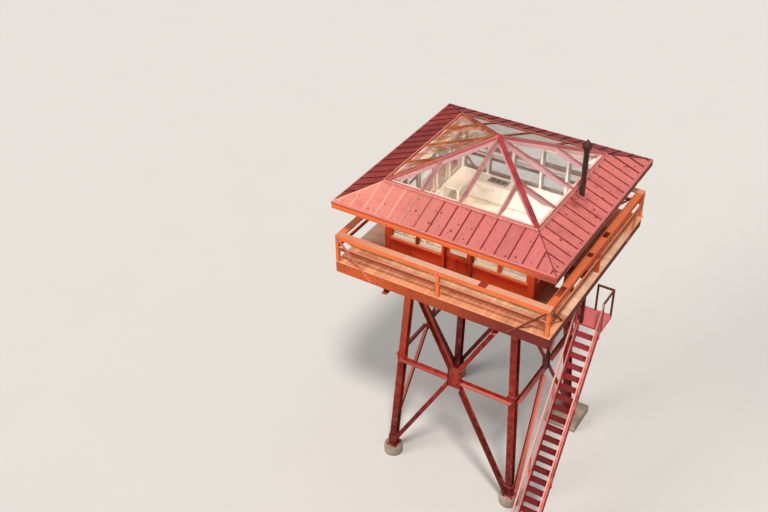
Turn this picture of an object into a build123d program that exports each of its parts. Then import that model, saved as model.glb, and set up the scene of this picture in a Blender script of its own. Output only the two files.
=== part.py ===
from build123d import *
import os

# Plan, in mm: half sizes of each level
FOOT_X, FOOT_Y = 1968, 2039
HEAD_X, HEAD_Y = 1570, 1626
DECK_X, DECK_Y = 3060, 3090
CAB_X, CAB_Y = 2140, 2040
EAVE_X, EAVE_Y = 3135, 3090
CURB_X, CURB_Y = 2143, 2063

# Heights, each stacked on the one below
PIER_TOP = 280
LEG_TOP = 6900
BEAM_W, BEAM_H = 160, 200
JOIST_W, JOIST_H = 45, 312
BOARD_T = 38
WALL_H = 2070
JOIST_LOW = LEG_TOP + BEAM_H
JOIST_TOP = JOIST_LOW + JOIST_H
DECK_TOP = JOIST_TOP + BOARD_T
SILL_Z = DECK_TOP + 580
WALL_TOP = DECK_TOP + WALL_H
HEAD_Z = WALL_TOP - 170
DOOR_HEAD = WALL_TOP - 140
EAVE_TOP = WALL_TOP - 245
CURB_TOP = WALL_TOP + 170
ROOF_MEET = CURB_TOP - 20
APEX_Z = CURB_TOP + 900
CHIMNEY_TOP = APEX_Z + 360
CAP_TOP = CHIMNEY_TOP + 230

# Piers and legs
PIER_R = 280
BLOCK_X, BLOCK_Y = 1000, 1090
LEG = 203
FLANGE, WEB = 12, 10
BASE_PLATE, BASE_T = 330, 20

# Bracing
STRUT_Z = (PIER_TOP + LEG_TOP) / 2 + 190
ANGLE, ANGLE_T = 130, 12
GUSSET_W, GUSSET_H, GUSSET_T = 440, 640, 14
BRACE_LOW, BRACE_HIGH = PIER_TOP + 120, LEG_TOP - 150

# Floor frame
JOIST_STEP = 588
JOIST_N = 11
RIM_T = 40
HATCH_X0, HATCH_X1 = 2190, 2800
DECK_LIP = 50

# Railing
RAIL_H = 815
CAP_W, CAP_T = 200, 40
POST = 90
MID_RAIL_Z = 410
LATH_T, LATH_H = 40, 90
BRACE_RUN = 1080
BRACE_W, BRACE_T = 50, 30

# Cab
WALL_T = 120
WIN_IN, WIN_OUT = 470, 1945
MULLION_X, MULLION_W = 1190, 90
DOOR_W = 750
DOOR_T, DOOR_GAP = 42, 4
DOOR_STILE = 110
PANE_T = 12

# Counter and side table
COUNTER_TOP = SILL_Z + 40
COUNTER_D = 478
SLAB_T, SLAB_OUT = 40, 20
KICK_H, KICK_IN = 60, 40
TABLE_W, TABLE_L = 520, 700
TABLE_LEG = 50
COOKTOP_X, COOKTOP_Y, COOKTOP_T = 620, 270, 14

# Roof and skylight
ROOF_T = 60
CURB_W = 100
FASCIA_T, FASCIA_H = 38, 190
RAFTER_W, RAFTER_H = 45, 120
RAFTERS = 6
GLASS_T = 14
HIP_W, BAR_W = 128, 64
BAR_OVER, BAR_UNDER = 14, 150
RAIL_W, RAIL_T = 30, 20
APEX_W, APEX_T = 240, 80
CHIMNEY_X, CHIMNEY_R = 2370, 68
CAP_R, BAND_H = 118, 100

# Stair
FLIGHT_W = 630
LOW_OUT_X = 3400
LANDING_DROP = 1620
LANDING_Z = DECK_TOP - LANDING_DROP
LANDING_Y = -260
LANDING_D = 760
LANDING_T = 60
LOW_RISERS, UP_RISERS = 23, 6
RUN = 160
TREAD_D, TREAD_T = 190, 40
STRINGER_T, STRINGER_D = 40, 210
HANDRAIL, HANDRAIL_H = 45, 800
HANGER = 80
GUARD, GUARD_H = 48, 870

UP = Vector(0, 0, 1)
BUTT = 0.5
FAR = 3 * DECK_X  # well past every piece, for cutting
PIECES = {}
SIDES = ((0, -1), (1, 0), (0, 1), (-1, 0))
NAMES = ("front", "right", "back", "left")


def block(x0, x1, y0, y1, z0, z1):
    centre = Pos((x0 + x1) / 2, (y0 + y1) / 2, (z0 + z1) / 2)
    return centre * Box(x1 - x0, y1 - y0, z1 - z0)


def bar(start, end, width, depth, normal=UP, out=0):
    """A straight bar; width runs across the normal and depth along it."""
    a, b = Vector(*start), Vector(*end)
    axis = (b - a).normalized()
    across = axis.cross(normal).normalized()
    plane = Plane(origin=a + normal * out, x_dir=across, z_dir=axis)
    return extrude(plane * Rectangle(width, depth), amount=(b - a).length)


def trim(shape, z0, z1):
    return shape & block(-FAR, FAR, -FAR, FAR, z0, z1)


def ring(x, y, width, z0, z1):
    """Four boards round a rectangle; the two on the sides butt between the others."""
    boards = []
    for s in (-1, 1):
        y0, y1 = sorted((s * y, s * (y - width)))
        x0, x1 = sorted((s * x, s * (x - width)))
        boards.append(block(-x, x, y0, y1, z0, z1))
        boards.append(block(x0, x1, -y + width + BUTT, y - width - BUTT, z0, z1))
    return boards


def save(name, shapes):
    shapes = shapes if isinstance(shapes, (list, tuple)) else [shapes]
    solids = [s for shape in shapes for s in shape.solids()]
    PIECES[name] = solids


def halves(side, along, out):
    """Half sizes along and out of a side, from an (x, y) pair."""
    return (along, out) if side % 2 == 0 else (out, along)


def leg_axis(fx, fy, z):
    t = (z - PIER_TOP) / (LEG_TOP - PIER_TOP)
    x = FOOT_X + (HEAD_X - FOOT_X) * t
    y = FOOT_Y + (HEAD_Y - FOOT_Y) * t
    return Vector(fx * x, fy * y, z)


# Piers
def make_piers():
    def round_pier(fx, fy):
        body = Pos(fx * FOOT_X, fy * FOOT_Y, PIER_TOP / 2) * Cylinder(PIER_R, PIER_TOP)
        return chamfer(body.edges().filter_by(GeomType.CIRCLE).sort_by(Axis.Z)[-1:], 12)

    save("round_piers", [round_pier(-1, -1), round_pier(1, -1), round_pier(-1, 1)])
    body = Pos(FOOT_X, FOOT_Y, PIER_TOP / 2) * Box(BLOCK_X, BLOCK_Y, PIER_TOP)
    save("block_pier", chamfer(body.faces().sort_by(Axis.Z)[-1].edges(), 12))


# Legs: battered H sections with base plates
def make_leg(fx, fy):
    foot, head = leg_axis(fx, fy, PIER_TOP - 60), leg_axis(fx, fy, LEG_TOP + 60)
    axis = (head - foot).normalized()
    x_dir = (Vector(1, 0, 0) - axis * axis.X).normalized()
    plane = Plane(origin=foot, x_dir=x_dir, z_dir=axis)
    edge = (LEG - FLANGE) / 2
    section = Pos(0, edge) * Rectangle(LEG, FLANGE) + Pos(0, -edge) * Rectangle(LEG, FLANGE)
    section += Rectangle(WEB, LEG - FLANGE)
    leg = extrude(plane * section, amount=(head - foot).length)
    leg = trim(leg, PIER_TOP + 1, LEG_TOP)
    base = Pos(fx * FOOT_X, fy * FOOT_Y, PIER_TOP + BASE_T / 2)
    leg += base * Box(BASE_PLATE, BASE_PLATE, BASE_T)
    return leg


# Bracing: two crossed angles, a strut and a gusset on each face
def make_bracing(side):
    sx, sy = SIDES[side]
    ends = ((-1, sy), (1, sy)) if sy else ((sx, -1), (sx, 1))
    low = [leg_axis(*e, BRACE_LOW) for e in ends]
    high = [leg_axis(*e, BRACE_HIGH) for e in ends]
    mid = [leg_axis(*e, STRUT_Z) for e in ends]
    along = (low[1] - low[0]).normalized()
    rise = ((high[0] + high[1]) * 0.5 - (low[0] + low[1]) * 0.5).normalized()
    normal = along.cross(rise).normalized()
    if normal.X * sx + normal.Y * sy < 0:
        normal = normal * -1
    out = LEG / 2 + ANGLE_T / 2

    def angle(a, b, inset):
        d = (b - a).normalized()
        a, b = a - d * inset, b + d * inset
        flat = bar(a, b, ANGLE, ANGLE_T, normal, out)
        down = d.cross(normal)
        if down.Z > 0:
            down = down * -1
        shift = down * ((ANGLE - ANGLE_T) / 2)
        lip = bar(a + shift, b + shift, ANGLE_T, ANGLE, normal, out + ANGLE / 2 - ANGLE_T / 2)
        return flat + lip

    shape = angle(low[0], high[1], 0) + angle(low[1], high[0], 0)
    shape += angle(mid[0], mid[1], 20)
    centre = (mid[0] + mid[1]) * 0.5
    plate = Plane(origin=centre + normal * (out + ANGLE_T / 2), x_dir=along, z_dir=normal)
    outline = plate * Rectangle(GUSSET_W, GUSSET_H)
    shape -= extrude(outline, amount=ANGLE * 2)
    return shape + extrude(outline, amount=GUSSET_T)


# Floor frame
def make_frame():
    beams = []
    for fx in (-1, 1):
        x = fx * (HEAD_X + 20)
        web = block(x - 8, x + 8, -DECK_Y + 10, DECK_Y - 10, LEG_TOP, JOIST_LOW)
        for z in (LEG_TOP, JOIST_LOW - 14):
            web += block(x - BEAM_W / 2, x + BEAM_W / 2, -DECK_Y + 10, DECK_Y - 10, z, z + 14)
        beams.append(web)
    save("tower_beams", beams)
    joists = []
    reach_x, reach_y = DECK_X - RIM_T, JOIST_W / 2
    for i in range(JOIST_N):
        y = (i - (JOIST_N - 1) / 2) * JOIST_STEP
        x1 = HATCH_X0 - JOIST_W - BUTT if y == -JOIST_STEP else reach_x
        joists.append(block(-reach_x, x1, y - reach_y, y + reach_y, JOIST_LOW, JOIST_TOP))
    hatch_y = (-2 * JOIST_STEP + JOIST_W / 2, -JOIST_W / 2)
    y0, y1 = hatch_y[0] + BUTT, hatch_y[1] - BUTT
    joists.append(block(HATCH_X0 - JOIST_W, HATCH_X0, y0, y1, JOIST_LOW, JOIST_TOP))
    save("floor_joists", joists)
    save("deck_fascia", ring(DECK_X, DECK_Y, RIM_T, JOIST_LOW, JOIST_TOP))
    return hatch_y


# Deck strips round the cab floor; the right ones leave the hatch open and lap over the rim
def make_deck(hatch_y):
    def strip(x0, x1, y0, y1):
        return block(x0 + BUTT, x1 - BUTT, y0 + BUTT, y1 - BUTT, JOIST_TOP, DECK_TOP)

    reach = DECK_X + DECK_LIP
    strips = [strip(-DECK_X, reach, -DECK_Y, -CAB_Y), strip(-DECK_X, reach, CAB_Y, DECK_Y)]
    strips.append(strip(-DECK_X, -CAB_X, -CAB_Y, CAB_Y))
    strips.append(strip(CAB_X, reach, -CAB_Y, hatch_y[0]))
    strips.append(strip(CAB_X, reach, hatch_y[1], CAB_Y))
    strips.append(strip(CAB_X, HATCH_X0, *hatch_y))
    strips.append(strip(HATCH_X1, reach, *hatch_y))
    save("catwalk_deck", strips)
    save("cab_floor", block(-CAB_X, CAB_X, -CAB_Y, CAB_Y, JOIST_TOP, DECK_TOP))


# Railing, one flat panel a side
def make_railing(side):
    half, out = halves(side, DECK_X, DECK_Y)
    ends = side % 2 == 0
    top = DECK_TOP + RAIL_H
    reach = half if ends else half - CAP_W
    parts = [(-reach, reach, -out, -out + CAP_W, top - CAP_T, top)]
    inner = half if ends else half - POST
    parts.append((-inner, inner, -out, -out + LATH_T, top - CAP_T - LATH_H, top - CAP_T))
    mid = DECK_TOP + MID_RAIL_Z
    parts.append((-inner, inner, -out, -out + LATH_T, mid - LATH_H / 2, mid + LATH_H / 2))
    posts = [0, -half + POST / 2, half - POST / 2] if ends else [0]
    for x in posts:
        parts.append((x - POST / 2, x + POST / 2, -out, -out + POST, DECK_TOP, top - CAP_T))
    shape = None
    for x0, x1, y0, y1, z0, z1 in parts:
        piece = block(x0, x1, y0, y1, z0, z1)
        shape = piece if shape is None else shape + piece
    return Rot(0, 0, 90 * side) * shape


# Corner braces on the outer faces, from the post heads down over the fascia
def make_rail_braces():
    def brace(side, sign, width, depth):
        half, out = halves(side, DECK_X, DECK_Y)
        y = -out - depth / 2
        a = (sign * (half - POST), y, DECK_TOP + RAIL_H - CAP_T - BRACE_W)
        b = (sign * (half - BRACE_RUN), y, JOIST_LOW + BRACE_W)
        return Rot(0, 0, 90 * side) * bar(a, b, width, depth, Vector(0, 1, 0))

    pairs = [(side, sign) for side in range(4) for sign in (-1, 1)]
    save("railing_braces", [brace(*pair, BRACE_W, BRACE_T) for pair in pairs])
    for sign in (-1, 1):
        notch = brace(1, sign, BRACE_W + 2 * BUTT, DECK_LIP + 10)
        save("catwalk_deck", [strip - notch for strip in PIECES["catwalk_deck"]])


# Cab walls with their window openings
def wall_openings(side):
    half, _ = halves(side, CAB_X, CAB_Y)
    shift = half - CAB_X
    spans = []
    for sign in (-1, 1):
        a, b = WIN_IN, MULLION_X + shift / 2 - MULLION_W / 2
        c, d = MULLION_X + shift / 2 + MULLION_W / 2, WIN_OUT + shift
        for s, e in ((a, b), (c, d)):
            spans.append((min(sign * s, sign * e), max(sign * s, sign * e)))
    if side != 0:
        spans.append((-WIN_IN + MULLION_W, WIN_IN - MULLION_W))
    return sorted(spans)


def make_wall(side):
    half, out = halves(side, CAB_X, CAB_Y)
    reach = half if side % 2 == 0 else half - WALL_T
    wall = block(-reach, reach, -out, -out + WALL_T, DECK_TOP, WALL_TOP)
    for x0, x1 in wall_openings(side):
        wall -= block(x0, x1, -out - 1, -out + WALL_T + 1, SILL_Z, HEAD_Z)
    if side == 0:
        d = DOOR_W / 2
        wall -= block(-d, d, -out - 1, -out + WALL_T + 1, DECK_TOP - 1, DOOR_HEAD)
    return Rot(0, 0, 90 * side) * wall


def make_panes():
    panes = []
    for side in range(4):
        _, out = halves(side, CAB_X, CAB_Y)
        y = -out + WALL_T / 2
        for x0, x1 in wall_openings(side):
            pane = block(x0, x1, y - PANE_T / 2, y + PANE_T / 2, SILL_Z, HEAD_Z)
            panes.append(Rot(0, 0, 90 * side) * pane)
    return panes


def make_door():
    d = DOOR_W / 2 - DOOR_GAP
    y = -CAB_Y + WALL_T / 2
    z0, z1 = DECK_TOP, DOOR_HEAD - DOOR_GAP
    leaf = block(-d, d, y - DOOR_T / 2, y + DOOR_T / 2, z0, z1)
    hole = (-d + DOOR_STILE, d - DOOR_STILE, SILL_Z + 20, z1 - DOOR_STILE)
    leaf -= block(hole[0], hole[1], y - 60, y + 60, hole[2], hole[3])
    save("cab_door", leaf)
    return block(hole[0], hole[1], y - PANE_T / 2, y + PANE_T / 2, hole[2], hole[3])


# Fittings that show through the glass roof
def make_fittings():
    x0, x1 = -CAB_X + WALL_T, CAB_X - WALL_T
    y1 = CAB_Y - WALL_T
    y0 = y1 - COUNTER_D
    low = COUNTER_TOP - SLAB_T
    counter = block(x0, x1, y0, y1, low, COUNTER_TOP)
    counter += block(x0, x1, y0 + SLAB_OUT, y1, DECK_TOP + KICK_H, low)
    counter += block(x0, x1, y0 + SLAB_OUT + KICK_IN, y1, DECK_TOP, DECK_TOP + KICK_H)
    save("counter", counter)
    table = block(x0, x0 + TABLE_W, y0 - TABLE_L, y0, low, COUNTER_TOP)
    for x in (x0, x0 + TABLE_W - TABLE_LEG):
        table += block(x, x + TABLE_LEG, y0 - TABLE_L, y0 - TABLE_L + TABLE_LEG, DECK_TOP, low)
    save("side_table", table)
    at = Pos(-TABLE_W - 210, (y0 + y1) / 2 + 20, COUNTER_TOP + COOKTOP_T / 2)
    save("cooktop", at * Box(COOKTOP_X, COOKTOP_Y, COOKTOP_T))


# Roof
def roof_z(t):
    return EAVE_TOP + (ROOF_MEET - EAVE_TOP) * t


def make_roof_panel(side):
    he, oe = halves(side, EAVE_X, EAVE_Y)
    hc, oc = halves(side, CURB_X, CURB_Y)
    he, hc = he - BUTT, hc - BUTT
    pts = [(-he, -oe, EAVE_TOP), (he, -oe, EAVE_TOP), (hc, -oc, ROOF_MEET), (-hc, -oc, ROOF_MEET)]
    sheet = make_face(Polyline(*pts, close=True))
    return Rot(0, 0, 90 * side) * extrude(sheet, amount=ROOF_T, dir=(0, 0, -1))


def make_roof():
    save("roof_slopes", [make_roof_panel(side) for side in range(4)])
    save("roof_curb", ring(CURB_X, CURB_Y, CURB_W, WALL_TOP, CURB_TOP))
    high = EAVE_TOP - ROOF_T
    save("eave_fascia", ring(EAVE_X, EAVE_Y, FASCIA_T, high - FASCIA_H, high))
    rafters = []
    for side in range(4):
        he, oe = halves(side, EAVE_X, EAVE_Y)
        hc, oc = halves(side, CURB_X, CURB_Y)
        for i in range(RAFTERS):
            x = (i - (RAFTERS - 1) / 2) * 2 * (hc - 60) / (RAFTERS - 1)
            k = FASCIA_T * (ROOF_MEET - EAVE_TOP) / (oe - oc)
            y, low, high = -oe + FASCIA_T, EAVE_TOP - ROOF_T + k, ROOF_MEET - ROOF_T
            pts = [(x, y, low), (x, -oc, high), (x, -oc, high - RAFTER_H), (x, y, low - RAFTER_H)]
            side_face = make_face(Polyline(*pts, close=True))
            piece = Pos(-RAFTER_W / 2, 0, 0) * extrude(side_face, amount=RAFTER_W, dir=(1, 0, 0))
            rafters.append(Rot(0, 0, 90 * side) * piece)
    save("eave_rafters", rafters)


# Skylight pyramid
def make_skylight():
    base = [(-CURB_X, -CURB_Y), (CURB_X, -CURB_Y), (CURB_X, CURB_Y), (-CURB_X, CURB_Y)]
    apex = Vector(0, 0, APEX_Z)
    keep = block(-CURB_X, CURB_X, -CURB_Y, CURB_Y, CURB_TOP, APEX_Z + 90)
    frame = None
    depth = BAR_OVER + BAR_UNDER
    lift = UP * (BAR_OVER - depth / 2)
    for i in range(4):
        a = Vector(*base[i], CURB_TOP) + lift
        b = Vector(*base[(i + 1) % 4], CURB_TOP) + lift
        mid = (a + b) * 0.5
        top = apex + lift
        run = [bar(tuple(a), tuple(top), HIP_W, depth), bar(tuple(mid), tuple(top), BAR_W, depth)]
        for corner in (a, b):
            start, end = (corner + mid) * 0.5, (corner + top) * 0.5
            run.append(bar(tuple(start), tuple(end), BAR_W, depth))
        rail = Vector(-mid.X, -mid.Y, 0).normalized() * (RAIL_W / 2) + UP * (RAIL_T / 2) - lift
        run.append(bar(tuple(a + rail), tuple(b + rail), RAIL_W, RAIL_T))
        for piece in run:
            frame = piece if frame is None else frame + piece
    frame = frame & keep
    save("skylight_frame", frame)
    panes = []
    inset = 12
    for i in range(4):
        a, b = Vector(*base[i], CURB_TOP), Vector(*base[(i + 1) % 4], CURB_TOP)
        centre = (a + b + apex) * (1 / 3)
        pts = [p + (centre - p).normalized() * inset for p in (a, b, apex)]
        sheet = make_face(Polyline(*[tuple(p) for p in pts], close=True))
        sheet = extrude(sheet, amount=GLASS_T, dir=(0, 0, -1)) & keep
        panes += (sheet - frame).solids().sort_by(SortBy.VOLUME)[-4:]
    save("skylight_glass", panes)
    cap = extrude(Plane.XY.offset(APEX_Z - 40) * Rectangle(APEX_W, APEX_W), amount=APEX_T, taper=40)
    save("skylight_cap", (cap - frame).solids().sort_by(Axis.Z)[-1])


# Chimney
def make_chimney():
    t = (EAVE_X - CHIMNEY_X) / (EAVE_X - CURB_X)
    seat = roof_z(t)
    pipe = Pos(CHIMNEY_X, 0, (seat - 20 + CHIMNEY_TOP) / 2) * Cylinder(CHIMNEY_R, CHIMNEY_TOP - seat + 20)
    collar = Pos(CHIMNEY_X, 0, seat - 5) * Cone(CHIMNEY_R + 24, CHIMNEY_R, 90)
    slope = make_roof_panel(1)
    pipe = ((pipe + collar) - slope).solids().sort_by(Axis.Z)[-1]
    save("chimney_pipe", pipe)
    top = Pos(CHIMNEY_X, 0, CHIMNEY_TOP + BAND_H / 2) * Cylinder(CAP_R, BAND_H)
    cone_h = CAP_TOP - CHIMNEY_TOP - BAND_H
    top += Pos(CHIMNEY_X, 0, CAP_TOP - cone_h / 2) * Cone(CAP_R - 14, 16, cone_h)
    save("chimney_cap", top)


# Stair
def make_flight(x0, x1, y0, z0, direction, risers, rise):
    """Treads and stringers of one flight; it starts at y0, z0 and runs along direction."""
    treads, stringers = [], []
    for i in range(1, risers):
        y, z = y0 + direction * RUN * i, z0 + rise * i
        ya, yb = sorted((y - direction * TREAD_D * 0.25, y + direction * TREAD_D * 0.75))
        treads.append(block(x0 + STRINGER_T, x1 - STRINGER_T, ya, yb, z - TREAD_T, z))
    slope = Vector(0, direction * RUN, rise).normalized()
    for x in (x0 + STRINGER_T / 2, x1 - STRINGER_T / 2):
        a = Vector(x, y0, z0) - slope * 300
        b = Vector(x, y0 + direction * RUN * risers, z0 + rise * risers) + slope * 300
        stringers.append(bar(tuple(a), tuple(b), STRINGER_T, STRINGER_D))
    return treads, stringers


def make_stair(hatch_y):
    x1 = LOW_OUT_X
    x0 = x1 - FLIGHT_W
    low_rise = LANDING_Z / LOW_RISERS
    y_foot = LANDING_Y - RUN * LOW_RISERS
    treads, low_str = make_flight(x0, x1, y_foot, 0, 1, LOW_RISERS, low_rise)
    low_str = [s & block(0, FAR, -FAR, LANDING_Y, 0, LANDING_Z) for s in low_str]
    up_rise = (DECK_TOP - LANDING_Z) / UP_RISERS
    ux1 = x0 - 65
    ux0 = HATCH_X0 + 5
    up_treads, up_str = make_flight(ux0, ux1, LANDING_Y + 120, LANDING_Z, -1, UP_RISERS, up_rise)
    up_str = [s & block(0, FAR, hatch_y[0], FAR, LANDING_Z, DECK_TOP) for s in up_str]
    save("stair_treads", treads + up_treads)
    save("stair_stringers", low_str + up_str)
    y_far = LANDING_Y + LANDING_D
    plate = block(ux0 - 5, x1 + GUARD / 2, LANDING_Y, y_far, LANDING_Z - LANDING_T, LANDING_Z)
    save("stair_landing", plate)
    hangers = []
    for x, y in ((HATCH_X1 + 5, LANDING_Y), (ux0 - 5, y_far - HANGER)):
        hangers.append(block(x, x + HANGER, y, y + HANGER, LANDING_Z, JOIST_TOP))
    save("landing_hangers", hangers)
    rails = []
    for x in (x0 - 20, x1 + 20):
        a, b = Vector(x, y_foot, HANDRAIL_H + 90), Vector(x, LANDING_Y, LANDING_Z + HANDRAIL_H + 90)
        rail = bar(tuple(a), tuple(b), HANDRAIL - 5, HANDRAIL)
        for k in (0.04, 0.35, 0.66, 0.97):
            y = y_foot + (LANDING_Y - y_foot) * k
            z = LANDING_Z * k
            rail += block(x - 20, x + 20, y - 20, y + 20, z - 60, z + HANDRAIL_H + 90)
        rails.append(rail & block(0, FAR, -FAR, LANDING_Y, 0, FAR))
    r = GUARD / 2
    yb, yf = y_far - r, LANDING_Y + r
    top = LANDING_Z + GUARD_H
    xo, xi = x1, x0 + 190
    guard = None
    for x, y in ((xi, yb), (xo, yb), (xo, yf)):
        post = block(x - r, x + r, y - r, y + r, LANDING_Z, top)
        guard = post if guard is None else guard + post
    guard += block(xi - r, xo + r, yb - r, yb + r, top - GUARD, top)
    guard += block(xo - r, xo + r, yf - r, yb + r, top - GUARD, top)
    save("stair_handrails", rails)
    save("landing_rail", guard)


make_piers()
for fy, end in ((-1, "front"), (1, "back")):
    for fx, hand in ((-1, "left"), (1, "right")):
        save(f"{end}_{hand}_leg", make_leg(fx, fy))
hatch = make_frame()
make_deck(hatch)
for index, name in enumerate(NAMES):
    save(f"{name}_bracing", make_bracing(index))
    save(f"{name}_railing", make_railing(index))
    save(f"{name}_wall", make_wall(index))
make_rail_braces()
save("window_panes", make_panes() + [make_door()])
make_fittings()
make_roof()
make_skylight()
make_chimney()
make_stair(hatch)

# The origin goes to the bottom centre of the whole
boxes = [solid.bounding_box() for solids in PIECES.values() for solid in solids]
x0, x1 = min(b.min.X for b in boxes), max(b.max.X for b in boxes)
y0, y1 = min(b.min.Y for b in boxes), max(b.max.Y for b in boxes)
home = Pos(-(x0 + x1) / 2, -(y0 + y1) / 2, 0)
os.makedirs("parts", exist_ok=True)
for name, solids in PIECES.items():
    moved = [home * s for s in solids]
    item = moved[0] if len(moved) == 1 else Compound(children=moved)
    item.label = name
    export_step(item, f"parts/{name}.step")
print("origin moved by", [round(v, 3) for v in home.position])
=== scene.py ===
import math
import random
from functools import partialmethod

import bmesh
import bpy
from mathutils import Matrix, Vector


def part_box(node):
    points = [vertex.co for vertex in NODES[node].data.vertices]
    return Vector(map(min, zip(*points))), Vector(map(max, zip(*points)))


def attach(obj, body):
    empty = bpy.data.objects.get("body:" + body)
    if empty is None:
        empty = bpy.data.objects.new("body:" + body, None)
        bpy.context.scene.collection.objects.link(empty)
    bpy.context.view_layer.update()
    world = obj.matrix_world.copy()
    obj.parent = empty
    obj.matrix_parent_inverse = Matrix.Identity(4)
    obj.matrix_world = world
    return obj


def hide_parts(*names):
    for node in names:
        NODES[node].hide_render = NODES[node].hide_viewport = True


# A fire lookout tower: the paint of its solids, the thin parts that sit on them, and the studio
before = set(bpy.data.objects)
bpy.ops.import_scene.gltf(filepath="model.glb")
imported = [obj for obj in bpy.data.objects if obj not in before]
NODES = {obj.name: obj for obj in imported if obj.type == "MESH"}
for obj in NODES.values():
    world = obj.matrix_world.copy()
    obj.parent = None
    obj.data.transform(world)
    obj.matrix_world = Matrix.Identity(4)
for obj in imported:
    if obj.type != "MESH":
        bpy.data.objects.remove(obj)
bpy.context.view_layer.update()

# The tower stands square on its own axis; all places below are metres from it
roof_low, roof_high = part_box("roof_slopes")
HOME = Vector(((roof_low.x + roof_high.x) / 2, (roof_low.y + roof_high.y) / 2, 0))
UP = Vector((0, 0, 1))
SIDES = ((0, -1), (1, 0), (0, 1), (-1, 0))
FRONT, RIGHT = 0, 1
CORNERS = ((-1, -1), (-1, 1), (1, -1), (1, 1))


def span(node):
    """Lowest and highest corner of a CAD node, from the tower's own axis."""
    low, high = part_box(node)
    return low - HOME, high - HOME


def level_centre(node, z):
    """Middle of the corners that a CAD node has at one height."""
    points = [v.co for v in NODES[node].data.vertices if abs(v.co.z - z) < 0.002]
    return sum(points, Vector()) / len(points) - HOME


# Sizes read from the frame; the slopes are ROOF_T thick, as in the solids
ROOF_T = 0.06
EAVE_X, EAVE_Y = span("roof_slopes")[1].xy
EAVE_TOP, ROOF_MEET = span("roof_slopes")[0].z + ROOF_T, span("roof_slopes")[1].z
CURB_X, CURB_Y = span("roof_curb")[1].xy
WALL_TOP, CURB_TOP = span("roof_curb")[0].z, span("roof_curb")[1].z
FASCIA_HIGH = span("eave_fascia")[1].z
FASCIA_LOW = FASCIA_HIGH - 0.125  # the painted band is narrower than the solid
DECK_X, DECK_Y = span("deck_fascia")[1].xy
DECK_RIGHT = span("catwalk_deck")[1].x
JOIST_TOP, DECK_TOP = span("catwalk_deck")[0].z, span("catwalk_deck")[1].z
JOIST_LOW = span("deck_fascia")[0].z
CAB_X, CAB_Y = span("cab_floor")[1].xy
WALL_T = span("front_wall")[1].y - span("front_wall")[0].y
SILL_Z, HEAD_Z = span("window_panes")[0].z, span("window_panes")[1].z
RAIL_TOP = span("front_railing")[1].z
PIER_TOP, LEG_TOP = span("front_left_leg")[0].z, span("front_left_leg")[1].z

# Sizes shared with the solids
WIN_IN, WIN_OUT, MULLION_X, MULLION_W = 0.47, 1.945, 1.19, 0.09
DOOR_W, DOOR_HEAD = 0.75, WALL_TOP - 0.14
LEG, ANGLE_T = 0.203, 0.012
STRUT_Z = (PIER_TOP + LEG_TOP) / 2 + 0.19
BRACE_LOW, BRACE_HIGH = PIER_TOP + 0.12, LEG_TOP - 0.15
GUSSET_W, GUSSET_H, GUSSET_T = 0.44, 0.64, 0.014
HATCH_X, HATCH_Y = (2.19, 2.80), (-1.1535, -0.0225)
CHIMNEY_X, CHIMNEY_R = 2.37, 0.068
PYRAMID_H, HIP_W, BAR_W, BAR_OVER = 0.9, 0.128, 0.064, 0.014
BASE_HALF = 0.165
LEGS = {(fx, fy): [level_centre(f"{end}_{hand}_leg", z) for z in (PIER_TOP + 0.001, LEG_TOP)]
        for end, fy in (("front", -1), ("back", 1)) for hand, fx in (("left", -1), ("right", 1))}

# Sizes of the added trim
SHEETS = 8.5  # roof sheets in half the width of an eave
CASING_T, CORNER_W, SASH_GAP = 0.024, 0.14, 0.006
BOARD, BOARD_GAP, LINING_W = 0.141, 0.005, 0.102
BUTT = 0.0015  # half the gap where two boards meet end to end
BEAD = 0.012  # along the foot of the eaves boards
PLATE_T = 0.012


def placed(name, data):
    """A new object in the scene."""
    made = bpy.data.objects.new(name, data)
    bpy.context.scene.collection.objects.link(made)
    return made


def flat(turn):
    """A level direction, turned from x."""
    return Vector((math.cos(turn), math.sin(turn), 0))


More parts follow.
